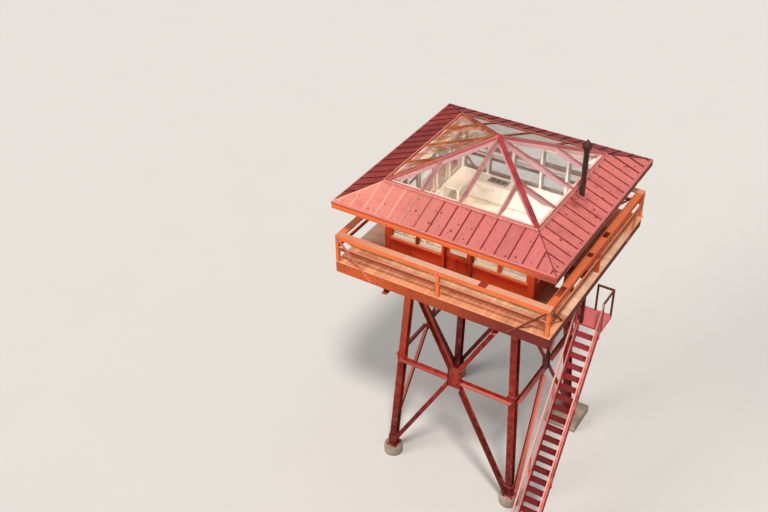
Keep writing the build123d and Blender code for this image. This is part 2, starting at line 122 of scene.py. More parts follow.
class Kit:
    """Collects simple solids, in metres from the tower's axis, and makes one object of them.
    """

    def __init__(self, seed):
        self.verts, self.faces, self.tones = [], [], []
        self.dice = random.Random(seed)

    def loft(self, low, high, tone=None):
        """A solid between two outlines with the same number of points."""
        n, first = len(low), len(self.verts)
        ends = [tuple(reversed(range(n))), tuple(range(n, 2 * n))]
        sides = [(i, (i + 1) % n, n + (i + 1) % n, n + i) for i in range(n)]
        self.verts += [Vector(p) for p in (*low, *high)]
        self.faces += [[first + i for i in face] for face in ends + sides]
        self.tones += [self.dice.random() if tone is None else tone] * (n + 2)

    def box(self, x, y, z):
        corners = ((x[0], y[0]), (x[1], y[0]), (x[1], y[1]), (x[0], y[1]))
        self.loft([(*c, z[0]) for c in corners], [(*c, z[1]) for c in corners])

    def slab(self, side, u, out, z):
        """A box as a side of the tower sees it."""
        a, b = side_point(side, u[0], out[0], 0), side_point(side, u[1], out[1], 0)
        self.box(sorted((a.x, b.x)), sorted((a.y, b.y)), z)

    def run(self, side, a, b, profile):
        """An outline of out and z, drawn along a side from a to b."""
        self.loft(*([side_point(side, u, out, z) for out, z in profile] for u in (a, b)))

    def bar(self, a, b, width, depth, normal=UP, out=0.0):
        """A straight bar from a to b; depth lies along the normal."""
        across = (b - a).cross(normal).normalized() * (width / 2)
        away = across.cross(b - a).normalized()
        rise = away * (depth / 2)
        ring = (-across - rise, across - rise, across + rise, -across + rise)
        self.loft(*([end + away * out + r for r in ring] for end in (a, b)))

    def rod(self, a, b, radius, sides=12, end_radius=None, tone=None):
        a, b = Vector(a), Vector(b)
        u = (b - a).orthogonal().normalized()
        v = (b - a).normalized().cross(u)
        turns = [2 * math.pi * i / sides for i in range(sides)]
        ring = [u * math.cos(t) + v * math.sin(t) for t in turns]
        self.loft([a + r * radius for r in ring], [b + r * (end_radius or radius) for r in ring], tone)

    def bolt(self, at, normal, size):
        """A washer and a hexagon head."""
        at, normal = Vector(at), Vector(normal).normalized()
        washer = at + normal * size * 0.2
        self.rod(at, washer, size * 1.35)
        self.rod(washer, at + normal * size, size, 6)

    def make(self, name, material, slot, bevel=0.0, replaces=None):
        mesh = bpy.data.meshes.new(name)
        mesh.from_pydata([v + HOME for v in self.verts], [], self.faces)
        mesh.attributes.new("tone", "FLOAT", "FACE").data.foreach_set("value", self.tones)
        work = bmesh.new()
        work.from_mesh(mesh)
        bmesh.ops.recalc_face_normals(work, faces=work.faces)
        work.to_mesh(mesh)
        work.free()
        mesh.materials.append(material)
        piece = placed(name, mesh)
        if bevel:
            edge = piece.modifiers.new("edges", "BEVEL")
            edge.width, edge.segments, edge.limit_method = bevel, 1, "ANGLE"
        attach(piece, "root")
        if replaces:
            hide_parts(replaces)


def srgb(colour):
    """A picture colour, 0 to 255, as a linear shader colour."""
    shares = [v / 255 for v in colour]
    return (*(v / 12.92 if v <= 0.04045 else ((v + 0.055) / 1.055) ** 2.4 for v in shares), 1.0)


class Graph:
    """Shader nodes of one tree; a colour is three numbers from 0 to 255, or four linear ones."""

    def __init__(self, tree):
        self.nodes, self.links = tree.nodes, tree.links

    def put(self, value, socket):
        if isinstance(value, bpy.types.NodeSocket):
            self.links.new(value, socket)
        else:
            socket.default_value = srgb(value) if socket.type == "RGBA" and len(value) == 3 else value

    def node(self, kind, inputs, output=0, **settings):
        made = self.nodes.new("ShaderNode" + kind)
        for key, value in settings.items():
            setattr(made, key, value)
        for key, value in inputs.items():
            self.put(value, made.inputs[key])
        return made.outputs[output]

    def math(self, operation, first, *others):
        """A maths node, chained over its values."""
        for other in others or (0.0,):
            first = self.node("Math", {0: first, 1: other}, operation=operation)
        return first

    # As masks: both is 1 where all are, most where any is, and over where the first is the larger
    both, most = partialmethod(math, "MULTIPLY"), partialmethod(math, "MAXIMUM")
    over, far = partialmethod(math, "GREATER_THAN"), partialmethod(math, "ABSOLUTE")
    plus, less = partialmethod(math, "ADD"), partialmethod(math, "SUBTRACT")
    share = partialmethod(math, "DIVIDE")

    def rays(self, *kinds):
        """1 for the rays of these kinds."""
        return self.most(*(self.node("LightPath", {}, output=f"Is {kind} Ray") for kind in kinds))


class Paint(Graph):
    """A Principled material whose patterns lie in the tower's own metres, laid on coat by coat."""

    def __init__(self, name):
        self.mat = bpy.data.materials.new(name)
        self.mat.use_nodes = True
        super().__init__(self.mat.node_tree)
        self.shader = self.nodes["Principled BSDF"]
        coords = self.nodes.new("ShaderNodeTexCoord").outputs["Object"]
        self.place = self.node("VectorMath", {0: coords, 1: tuple(HOME)}, operation="SUBTRACT")
        self.x, self.y, self.z = self.split(self.place)
        self.nx, self.ny, self.nz = self.split(self.node("NewGeometry", {}, output="Normal"))
        self.tone = self.node("Attribute", {}, output="Fac", attribute_name="tone")
        self.colour = None

    def split(self, vector):
        made = self.nodes.new("ShaderNodeSeparateXYZ")
        self.links.new(vector, made.inputs[0])
        return made.outputs

    def fade(self, value, low, high, start=0.0, end=1.0):
        return self.node("MapRange", {0: value, 1: low, 2: high, 3: start, 4: end})

    def band(self, value, low, high, soft=0.01):
        """1 between two places, 0 outside them."""
        return self.both(self.fade(value, low - soft, low), self.fade(value, high + soft, high))

    def stretched(self, stretch):
        return self.node("VectorMath", {0: self.place, 1: stretch}, operation="MULTIPLY")

    def noise(self, scale, stretch=(1, 1, 1), detail=4.0, rough=0.55):
        return self.node("TexNoise", {"Vector": self.stretched(stretch), "Scale": scale,
                                      "Detail": detail, "Roughness": rough})

    def spots(self, scale, low, high, most=1, stretch=(1, 1, 1), detail=4, rough=0.55):
        """Patches of noise."""
        return self.fade(self.noise(scale, stretch, detail, rough), low, high, 0, most)

    def cells(self, scale, stretch=(1, 1, 1), flat=False):
        return self.node("TexVoronoi", {"Vector": self.stretched(stretch), "Scale": scale}, "Distance",
                         voronoi_dimensions="2D" if flat else "3D")

    def stripes(self, pitch, low, high):
        """Fades over one part of every step up."""
        return self.fade(self.math("FRACT", self.share(self.z, pitch)), low, high)

    def mix(self, factor, a, b, blend="MIX"):
        return self.node("Mix", {0: factor, 6: a, 7: b}, 2, data_type="RGBA", blend_type=blend)

    def shade(self, colour, value, low, high):
        """The colour times a grey that runs from low to high with the value."""
        grey = self.fade(value, 0.0, 1.0, low, high)
        return self.mix(1.0, colour, self.node("CombineColor", {0: grey, 1: grey, 2: grey}), "MULTIPLY")

    def coat(self, mask, colour, share=1.0):
        """Lays a colour over the paint so far, where the mask is 1."""
        self.colour = self.mix(self.both(mask, share) if share < 1 else mask, self.colour, colour)

    def grain(self, value, low, high):
        """Shades the paint so far."""
        self.colour = self.shade(self.colour, value, low, high)

    def bump(self, height, depth):
        return self.node("Bump", {"Height": height, "Distance": depth, "Strength": 1.0})

    def done(self, rough, bump=None, metallic=0.0, specular=0.4):
        self.put(self.colour, self.shader.inputs["Base Color"])
        self.put(rough, self.shader.inputs["Roughness"])
        self.shader.inputs["Metallic"].default_value = metallic
        self.shader.inputs["Specular IOR Level"].default_value = specular
        if bump is not None:
            self.put(bump, self.shader.inputs["Normal"])
        return self.mat


def drawn(axis, along, across):
    """Stretches a pattern: little along the grain, much across it."""
    return tuple(along if a == axis else across for a in "xyz")


# Materials
def painted_steel(name, base, dark, faded_and_lit, specks=0.62, lit_upper=None, tower=False):
    """Old oil paint on steel: streaked and rusty, pale on top and on faces that slope up to the front, partly
    chalky paint and partly painted highlight.

    lit_upper is the lighter colour of a flight's higher steps, painted light; the tower's own steel gets
    painted shade low down, at the back, on faces turned right and on the tops of its left side, and a painted
    highlight high on its left.
    """
    p = Paint(name)
    patches, fine = p.noise(1.1), p.noise(28.0, detail=6)
    p.colour = p.mix(p.fade(patches, 0.42, 0.68, 0, 0.5), base, dark)
    p.coat(p.spots(2.2, 0.52, 0.75, 0.45, stretch=(5, 5, 0.45)), dark)
    # Painted highlight: tops and faces that slope up to the front are paler where light falls on them, with
    # some chalky paint.
    lit_slopes = p.both(p.fade(p.nz, 0.2, 0.35, 0, 0.95), p.fade(p.ny, -0.35, -0.55))
    lit_dusty_tops = p.most(lit_slopes, p.fade(p.nz, 0.4, 0.9, 0, 0.75))
    # Painted light: a flight's higher steps turn to a lighter colour.
    if lit_upper:
        high = p.fade(p.z, 3.6, 5.8, 0, 0.9)
        p.coat(high, lit_upper)
        faded_and_lit = p.mix(high, faded_and_lit, lit_upper)
    if tower:
        # Painted highlight high on the tower's left.
        p.coat(p.both(p.fade(p.z, 3.7, 5.6), p.fade(p.x, 0.6, -1.2)), (206, 80, 54), 0.8)
        # Painted shade low down, on faces turned right and at the back.
        p.coat(p.most(p.fade(p.z, 3.6, 1.2, 0, 0.7), p.fade(p.nx, 0.5, 0.95, 0, 0.8),
                      p.fade(p.y, 0.4, 1.6, 0, 0.5)), dark)
        # Painted shade: the pale tops are halved on the tower's left.
        lit_dusty_tops = p.both(lit_dusty_tops, p.fade(p.x, 0.1, -0.5, 1.0, 0.5))
    p.coat(p.most(lit_dusty_tops, p.spots(5.0, 0.45, 0.75, 0.2)), faded_and_lit)
    rust = p.fade(p.noise(19.0, detail=7, rough=0.7), specks, specks + 0.07)
    p.coat(p.both(rust, p.fade(patches, 0.35, 0.6)), (74, 30, 18), 0.8)
    p.grain(fine, 0.82, 1.16)
    return p.done(p.fade(fine, 0.3, 0.7, 0.5, 0.74), p.bump(p.noise(60.0, detail=5), 0.0012), specular=0.22)


def painted_wood(name, base, dark, faded_and_lit, grain, top=0.9, bare=0.7, right=None, rails=False, posts=False):
    """Painted boards with grain along one axis, worn to bare wood in spots, and pale on top, partly weathered
    paint and partly painted highlight.

    right is the colour, painted shade, that a run of boards turns to on the tower's right; rails get painted
    shade on their mid rails, and on the right side a cap painted bright as sunlit, with painted cast shadows
    across it; posts get painted shade where they face right, and are deep red beside the cab's door and
    between its left windows.
    """
    p = Paint(name)
    lines = p.noise(7.0, drawn(grain, 0.35, 9.0), detail=6, rough=0.6)
    p.colour = p.mix(p.spots(0.9, 0.4, 0.7, 0.55), base, dark)
    # Painted shade: the boards darken towards the tower's right.
    if right:
        p.coat(p.fade(p.x, -1.9, 2.2), right)
    if rails:
        # Painted shade on the mid rails, under the caps.
        shaded_mid_rail = p.band(p.z, DECK_TOP + 0.37, DECK_TOP + 0.46)
        p.coat(p.both(shaded_mid_rail, p.band(p.far(p.x if grain == "x" else p.y), 0.06, 2.95)), (134, 44, 32), 0.8)
    if posts:
        # The posts beside the door and between the left windows are darker red, and faces turned right get
        # painted shade.
        dark_posts = p.most(p.band(p.x, 0.37, 0.5), p.band(p.x, -1.26, -1.08))
        in_front = p.fade(p.y, -CAB_Y + 0.1, -CAB_Y + 0.05, 0, 0.8)
        p.coat(p.most(p.both(dark_posts, in_front), p.fade(p.nx, 0.5, 0.8, 0, 0.55)), (112, 30, 16))
    # Painted highlight on the tops, together with weathering of the paint.
    p.coat(p.fade(p.nz, 0.3, 0.85, 0, top), faded_and_lit)
    if rails:
        cap = p.both(p.fade(p.nz, 0.5, 0.8), p.fade(p.z, RAIL_TOP - 0.02, RAIL_TOP - 0.01))
        if grain == "x":
            front = p.both(cap, p.fade(p.y, -2.5, -2.6))
            for place, colour in ((p.band(p.x, -1.0, 1.1, 0.02), (252, 198, 170)),
                                  (p.fade(p.x, -1.2, -2.6, 0, 0.8), (246, 152, 106)),
                                  (p.band(p.x, 1.12, 1.33), (178, 66, 54))):
                p.coat(p.both(front, place), colour)
        else:
            # Painted light: the right side's cap is painted bright as if sunlit, and crossed by painted cast
            # shadows.
            cap = p.both(cap, p.fade(p.x, 2.5, 2.6))
            p.coat(cap, (255, 132, 80), 0.9)
            near = p.both(p.band(p.y, -2.47, -2.04, 0.02), p.fade(p.y, -2.5, -2.1, 0.6, 0.95))
            cast_shadows = p.most(p.band(p.y, -0.58, -0.4), p.band(p.y, 0.42, 0.68), near)
            p.coat(p.both(cap, cast_shadows, p.band(p.x, 2.89, 3.02)), (112, 34, 24))
    worn = p.fade(p.noise(3.5, detail=8, rough=0.7), bare, bare + 0.06)
    p.coat(p.both(worn, p.fade(lines, 0.4, 0.6)), (196, 142, 104), 0.75)
    p.grain(lines, 0.74, 1.22)
    p.grain(p.tone, 0.9, 1.08)
    return p.done(p.fade(lines, 0.3, 0.7, 0.55, 0.78), p.bump(lines, 0.0025), specular=0.25)


def fascia_paint():
    """The eaves board: orange in front, with painted shade in deep red round the right corner, on its faces
    turned right and along its foot.
    """
    p = Paint("fascia_wood")
    lines = p.noise(7.0, (0.4, 0.4, 9), detail=6, rough=0.6)
    # Painted shade: the board darkens along its foot.
    p.colour = p.mix(p.fade(p.z, FASCIA_LOW + 0.07, FASCIA_LOW, 0, 0.8), (240, 118, 56), (206, 72, 34))
    # Painted shade: deep red round the right corner.
    p.coat(p.fade(p.x, 2.0, 2.9, 0, 0.85), (150, 58, 54))
    # Painted shade on faces turned right, with painted patches of light in it.
    patches = p.spots(1.6, 0.5, 0.62, 0.5, detail=5)
    p.coat(p.fade(p.nx, 0.3, 0.7), p.mix(patches, (108, 24, 12), (196, 76, 32)))
    p.coat(p.fade(p.nz, 0.4, 0.8, 0, 0.8), (250, 160, 108))
    p.grain(lines, 0.8, 1.18)
    return p.done(0.62, p.bump(lines, 0.002), specular=0.25)


def deck_wood(name, grain, light, dark, dirt=1.0, sunlit_strips=None, lit_and_shaded_bands=False):
    """Bare sunlit boards; each has its own tone, knots and dirt, and some get painted light and shade in
    strips.
    """
    p = Paint(name)
    lines = p.noise(8.0, drawn(grain, 0.3, 8.0), detail=7, rough=0.62)
    p.colour = p.mix(p.spots(0.8, 0.38, 0.68, 0.6), light, dark)
    if sunlit_strips:
        # Painted shade on the right catwalk by the wall, and painted sunlight on the outer strips left and
        # right.
        p.coat(p.band(p.x, 2.0, 2.6, 0.12), (128, 70, 46), 0.6)
        p.coat(p.most(p.fade(p.x, -1.9, -2.2, 0, 0.85), p.fade(p.x, 2.7, 2.8, 0, 0.4)), sunlit_strips)
    if lit_and_shaded_bands:
        # Painted light on a band across the front catwalk, and painted shade on the band by the wall.
        lit_band = p.both(p.band(p.y, -2.66, -2.36, 0.06), p.band(p.x, -1.6, 2.2, 0.5))
        p.coat(p.both(lit_band, p.fade(p.noise(2.0), 0.3, 0.5, 0.2, 0.75)), (255, 226, 180))
        shaded_band = p.fade(p.noise(2.6), 0.35, 0.6, 0.2, 0.7)
        p.coat(p.both(p.band(p.y, -2.34, -2.1, 0.04), shaded_band), (146, 78, 46))
    p.coat(p.fade(p.cells(1.6, drawn(grain, 1.0, 2.2)), 0.07, 0.02, 0, 0.7 * dirt), (120, 62, 40))
    p.grain(lines, 1.0 - 0.26 * dirt, 1.0 + 0.24 * dirt)
    p.grain(p.tone, 1.0 - 0.16 * dirt, 1.0 + 0.1 * dirt)
    p.coat(p.spots(2.4, 0.6, 0.72, 0.4 * dirt, detail=6), (150, 84, 62))
    return p.done(p.fade(lines, 0.3, 0.7, 0.6, 0.82), p.bump(lines, 0.003))


def siding_paint():
    """Lapped wall boards: red, with painted light in orange near the deck and under the sills, and painted
    shade on the cab's right.
    """
    p = Paint("siding_paint")
    lines = p.noise(6.0, (1, 1, 14), detail=6, rough=0.6)
    # Painted light: orange near the deck and under the sills.
    low = p.fade(p.z, DECK_TOP + 0.05, DECK_TOP + 0.42, 1.0, 0.0)
    high = p.fade(p.z, SILL_Z - 0.14, SILL_Z - 0.04, 0, 0.7)
    p.colour = p.mix(p.most(low, high), (196, 36, 12), (240, 100, 40))
    p.coat(p.spots(1.3, 0.42, 0.7, 0.55), (116, 16, 8))
    # Painted shade on faces turned right.
    p.coat(p.fade(p.nx, 0.5, 0.8, 0, 0.55), (96, 18, 10))
    p.coat(p.spots(5.0, 0.66, 0.74, 0.6, stretch=(1, 1, 4), detail=8, rough=0.7), (236, 134, 78))
    p.grain(lines, 0.8, 1.2)
    p.grain(p.tone, 0.86, 1.12)
    return p.done(0.66, p.bump(lines, 0.002), specular=0.2)


def wall_paint():
    """The framed wall: red outside its middle plane and cream inside, in shade between the windows."""
    p = Paint("wall_paint")
    outside = p.most(p.over(p.far(p.x), CAB_X - WALL_T / 2), p.over(p.far(p.y), CAB_Y - WALL_T / 2))
    lines = p.noise(9.0, (1, 1, 6), detail=6)
    red = p.mix(p.spots(1.5, 0.4, 0.7), (200, 56, 22), (146, 32, 16))
    p.colour = p.mix(p.spots(2.0, 0.45, 0.75), (252, 246, 234), (240, 226, 204))
    p.grain(lines, 0.95, 1.03)
    p.coat(p.band(p.z, SILL_Z, HEAD_Z), (160, 150, 144), 0.8)
    p.coat(outside, p.shade(red, lines, 0.8, 1.2))
    return p.done(0.6, p.bump(lines, 0.0012))


def inner_paint(name, base=(252, 248, 240), dirt=(240, 228, 210), grain="z"):
    """Cream gloss paint inside the cab, a little yellowed."""
    p = Paint(name)
    lines = p.noise(6.0, drawn(grain, 0.5, 8.0), detail=5)
    p.colour = p.mix(p.spots(2.2, 0.48, 0.78, 0.7, detail=6), base, dirt)
    p.grain(lines, 0.95, 1.03)
    p.grain(p.tone, 0.96, 1.02)
    return p.done(0.42, p.bump(lines, 0.0008), specular=0.5)


def roof_paint():
    """Faded standing-seam sheets above, boards below, and a dark cut edge, with painted light and shade on
    the slopes.
    """
    p = Paint("roof_paint")
    across = p.over(p.far(p.nx), p.far(p.ny))
    index_x, index_y = (p.math("FLOOR", p.share(place, eave / SHEETS))
                        for place, eave in ((p.x, EAVE_X), (p.y, EAVE_Y)))
    index = p.plus(p.both(index_x, p.less(1.0, across)), p.both(p.plus(index_y, 40.0), across))
    side = p.plus(p.over(p.nx, 0.05), p.both(p.over(p.ny, 0.05), 2.0))
    tone = p.node("TexWhiteNoise", {"W": p.plus(index, p.both(side, 97.0))}, "Value", noise_dimensions="1D")
    # Painted light: the front slope is paler to its left, and the right slope has a lit tone of its own.
    p.colour = p.mix(p.fade(p.x, -2.9, 1.2), (232, 144, 124), (208, 112, 108))
    p.coat(p.over(p.nx, 0.05), (238, 132, 124))
    # Painted shade: the left and back slopes are deep red.
    away = p.mix(p.spots(0.9, 0.4, 0.65), (164, 54, 46), (130, 36, 34))
    p.coat(p.most(p.over(-0.05, p.nx), p.over(p.ny, 0.05)), away)
    runs = [p.noise(3.0, stretch, detail=6, rough=0.6) for stretch in ((5.0, 0.5, 0.5), (0.5, 5.0, 0.5))]
    grey = p.node("SeparateColor", {0: p.mix(across, *runs)})
    p.coat(p.fade(grey, 0.5, 0.78, 0, 0.32), (186, 92, 84))
    p.coat(p.fade(grey, 0.45, 0.25, 0, 0.25), (236, 160, 144))
    p.coat(p.spots(1.6, 0.5, 0.7, 0.5, detail=6, rough=0.65), (196, 92, 92))
    p.grain(tone, 0.93, 1.06)
    size = p.fade(p.noise(2.0), 0.35, 0.65, 0.02, 0.1)
    specks = p.fade(p.less(p.cells(2.6, flat=True), size), 0.015, -0.01)
    fine = p.fade(p.less(p.cells(5.3, flat=True), size), 0.02, -0.01, 0, 0.7)
    p.coat(p.most(specks, fine), (118, 40, 42), 0.8)
    soot_x = p.fade(p.far(p.less(p.x, 2.3)), 0.42, 0.08)
    soot_y = p.fade(p.far(p.less(p.y, -0.3)), 0.6, 0.1)
    p.coat(p.both(soot_x, soot_y, p.spots(4.0, 0.3, 0.6, detail=6)), (142, 38, 42), 0.75)
    from_curb = p.most(p.less(p.far(p.x), CURB_X), p.less(p.far(p.y), CURB_Y))
    grime = p.both(p.fade(from_curb, 0.14, 0.0), p.spots(9.0, 0.4, 0.65, detail=6))
    p.coat(grime, (186, 112, 108), 0.4)
    boards = p.mix(p.spots(3.0, 0.3, 0.7, stretch=(1, 1, 9), detail=6), (158, 70, 34), (196, 104, 52))
    p.coat(p.over(-0.2, p.nz), p.shade(boards, p.less(1.0, p.stripes(0.055, 0.06, 0.0)), 0.35, 1.0))
    # Painted shade: the cut edge is darker where it faces right.
    p.coat(p.over(0.2, p.far(p.nz)), p.mix(p.fade(p.nx, 0.3, 0.7), (196, 78, 56), (150, 56, 52)))
    return p.done(p.fade(grey, 0.3, 0.7, 0.5, 0.68), p.bump(p.noise(5.0), 0.006), specular=0.35)


def rib_paint():
    """Seam ribs: maroon, in near-black painted shade on the left and at the back, and pale with a painted
    highlight on the front left.
    """
    p = Paint("rib_paint")
    to_front, to_left = p.fade(p.y, -CURB_Y, -EAVE_Y), p.fade(p.x, -CURB_X, -EAVE_X)
    in_front = p.both(p.over(-CURB_Y + 0.02, p.y), p.over(to_front, p.less(to_left, 0.02)))
    worn = p.spots(6.0, 0.4, 0.7, detail=6)
    p.colour = p.mix(worn, (134, 44, 46), (166, 76, 72))
    # Painted shade on the ribs of the left and back.
    away = p.most(p.fade(p.x, -CURB_X + 0.05, -CURB_X), p.fade(p.y, CURB_Y - 0.05, CURB_Y))
    p.coat(away, (74, 14, 16), 0.85)
    # Painted highlight on the ribs of the front left.
    p.coat(p.both(p.fade(p.x, -0.55, -1.5), in_front), (255, 206, 176), 0.9)
    return p.done(0.6, p.bump(worn, 0.001))


def skylight_paint():
    """Glazing bars: rose with crimson hips, grey-lilac below the glass as a painted reflection, and amber
    with moss on the left and back faces.
    """
    p = Paint("skylight_paint")
    far_x, far_y = p.far(p.x), p.far(p.y)
    over_x, over_y = p.share(far_x, CURB_X), p.share(far_y, CURB_Y)
    patch = p.noise(2.6, detail=7, rough=0.65)
    fair = p.fade(patch, 0.4, 0.65)
    p.colour = p.mix(fair, (194, 128, 124), (166, 96, 96))
    crimson = p.mix(fair, (184, 70, 74), (154, 48, 54))
    crimson = p.mix(p.both(p.over(p.both(p.x, p.y), 0.0), 0.55), crimson, (206, 128, 122))
    p.coat(p.fade(p.far(p.less(over_x, over_y)), 0.06, 0.045), crimson)
    # Painted reflection: below the glass the bars turn grey-lilac.
    pane = p.less(CURB_TOP + PYRAMID_H, p.both(p.most(over_x, over_y), PYRAMID_H))
    p.coat(p.fade(p.less(pane, p.z), 0.01, 0.03), (182, 142, 144), 0.8)
    amber = p.mix(p.fade(patch, 0.38, 0.56), (186, 98, 46), (144, 70, 28))
    amber = p.mix(p.spots(5.0, 0.52, 0.62, 0.85, detail=7), amber, (132, 112, 34))
    p.coat(p.most(p.over(p.both(p.x, -1.0), p.plus(far_y, 0.06)), p.over(p.y, p.plus(far_x, 0.06))), amber)
    p.grain(p.noise(30.0), 0.85, 1.15)
    return p.done(0.55, p.bump(p.noise(40.0), 0.001), specular=0.25)


def glass(name, clear, left, back, grime):
    """Clear panes that let light through, tinted in patches on the left and back faces as a painted
    reflection.
    """
    p = Paint(name)
    grime_and_reflection = p.noise(3.0, detail=7, rough=0.65)
    over_x, over_y = p.share(p.x, CURB_X), p.share(p.y, CURB_Y)
    p.colour = clear
    # Painted reflection: the left and back faces are tinted in patches.
    p.coat(p.over(p.both(over_x, -1.0), p.far(over_y)), p.mix(p.fade(grime_and_reflection, 0.42, 0.58), clear, left))
    back_reflection = p.mix(0.7, clear, back)
    p.coat(p.over(over_y, p.far(over_x)), p.mix(p.fade(grime_and_reflection, 0.42, 0.6), back_reflection, back))
    p.shader.inputs["Transmission Weight"].default_value = 1.0
    p.shader.inputs["IOR"].default_value = 1.45
    p.done(p.fade(grime_and_reflection, 0.35, 0.75, 0.02, grime), specular=0.5)
    thin = p.node("BsdfTransparent", {"Color": p.node("Gamma", {"Color": p.colour, "Gamma": 0.5})})
    made = p.node("MixShader", {0: p.rays("Shadow"), 1: p.shader.outputs[0], 2: thin})
    p.put(made, p.nodes["Material Output"].inputs["Surface"])
    return p.mat


def concrete():
    """Cast piers: form lines, pits, damp feet and rust runs from the plates."""
    p = Paint("concrete")
    p.colour = p.mix(p.spots(2.5, 0.35, 0.7, detail=7), (182, 166, 148), (142, 126, 110))
    p.coat(p.fade(p.z, 0.12, 0, 0, 0.55), (104, 90, 74))
    p.grain(p.noise(40.0, detail=6), 0.82, 1.16)
    runs = p.spots(5.0, 0.55, 0.7, stretch=(3, 3, 0.4), detail=5)
    p.coat(p.both(runs, p.fade(p.z, 0.05, PIER_TOP)), (140, 70, 44), 0.6)
    pits = p.fade(p.cells(24.0), 0.12, 0.28)
    return p.done(0.88, p.bump(p.both(pits, p.stripes(0.09, 0.0, 0.08)), 0.004), specular=0.2)


def stove_metal():
    """Flat black pipe with heat bloom and rust."""
    p = Paint("stove_metal")
    p.colour = p.mix(p.spots(4.0, 0.42, 0.6, stretch=(1, 1, 0.6), detail=6), (34, 15, 12), (86, 42, 34))
    p.coat(p.spots(22.0, 0.6, 0.68, 0.7, detail=6, rough=0.7), (104, 58, 36))
    return p.done(0.5, p.bump(p.noise(50.0), 0.001), metallic=0.1)


def plain_metal(name, base, dark, rough, metallic):
    p = Paint(name)
    wear = p.noise(14.0, detail=7, rough=0.65)
    p.colour = p.mix(p.fade(wear, 0.4, 0.66), base, dark)
    return p.done(p.fade(wear, 0.3, 0.7, rough, rough + 0.2), p.bump(wear, 0.0006), metallic)


def floor_paint():
    """The studio floor, paler as seen than as it lights the tower."""
    p = Paint("studio_floor")
    p.colour = (186, 183, 178)
    p.coat(p.rays("Camera", "Glossy", "Transmission"),
           p.shade((226, 223, 218), p.noise(0.35, detail=3), 0.985, 1.015))
    return p.done(0.9, specular=0.1)


RED_STEEL = painted_steel("red_steel", (150, 32, 20), (66, 8, 6), (240, 136, 116), tower=True)
STAIR_STEEL = painted_steel("stair_steel", (168, 58, 56), (108, 28, 28), (222, 112, 106), 0.58)
TREAD_STEEL = painted_steel("tread_steel", (128, 34, 36), (84, 18, 22), (136, 42, 46), 0.58, (188, 74, 78))
HAND_STEEL = painted_steel("handrail_steel", (206, 104, 94), (152, 60, 52), (240, 160, 146), 0.66)
PLATE_STEEL = painted_steel("landing_steel", (214, 88, 88), (184, 66, 66), (255, 142, 138), 0.66)
GUARD_STEEL = painted_steel("guard_steel", (104, 34, 28), (66, 20, 16), (150, 92, 58))
# One orange paint in three tones: the paler, pinker tone of the front and back rails is painted light.
ORANGE = {
    "x": painted_wood("orange_wood_x", (255, 132, 72), (240, 104, 56), (252, 190, 158), "x", rails=True),
    "y": painted_wood("orange_wood_y", (236, 92, 44), (190, 58, 28), (252, 146, 88), "y", rails=True),
    "z": painted_wood("orange_wood_z", (220, 72, 28), (172, 44, 18), (248, 166, 122), "z", posts=True)}
# Painted light in the pink of the braces and the orange of the rim, and painted shade where they turn to the
# right.
BRACE_WOOD = painted_wood("brace_wood", (226, 124, 96), (190, 84, 62), (250, 180, 150), "z", 0.6,
                          right=(126, 50, 34))
RIM_WOOD = painted_wood("rim_wood", (216, 98, 46), (180, 70, 36), (236, 140, 96), "x", right=(122, 42, 38))
MAROON = painted_wood("maroon_wood_x", (142, 50, 36), (104, 32, 26), (196, 96, 70), "x")
CURB_WOOD = painted_wood("curb_wood", (226, 176, 164), (206, 146, 134), (222, 164, 152), "x", 0.6, 0.8)
RAFTER_WOOD = painted_wood("rafter_wood_x", (184, 84, 40), (140, 52, 26), (206, 112, 60), "x")
FASCIA = fascia_paint()
DECK_X_WOOD = deck_wood("deck_wood_x", "x", (250, 190, 146), (236, 160, 116), sunlit_strips=(255, 226, 194))
DECK_Y_WOOD = deck_wood("deck_wood_y", "y", (250, 178, 130), (230, 142, 98), lit_and_shaded_bands=True)
FLOOR_WOOD = deck_wood("floor_wood", "y", (255, 242, 224), (250, 230, 208), 0.3)
SIDING, WALL, ROOF, RIBS, SKYLIGHT = siding_paint(), wall_paint(), roof_paint(), rib_paint(), skylight_paint()
CREAM = {axis: inner_paint(f"cream_{axis}", grain=axis) for axis in "xyz"}
SASH = inner_paint("sash_paint", (255, 238, 208), (252, 224, 184))
# The inner sashes' paint is the cabin cream in painted shade.
SHADED_STILE = inner_paint("shaded_stile_paint", (184, 176, 170), (160, 150, 144))
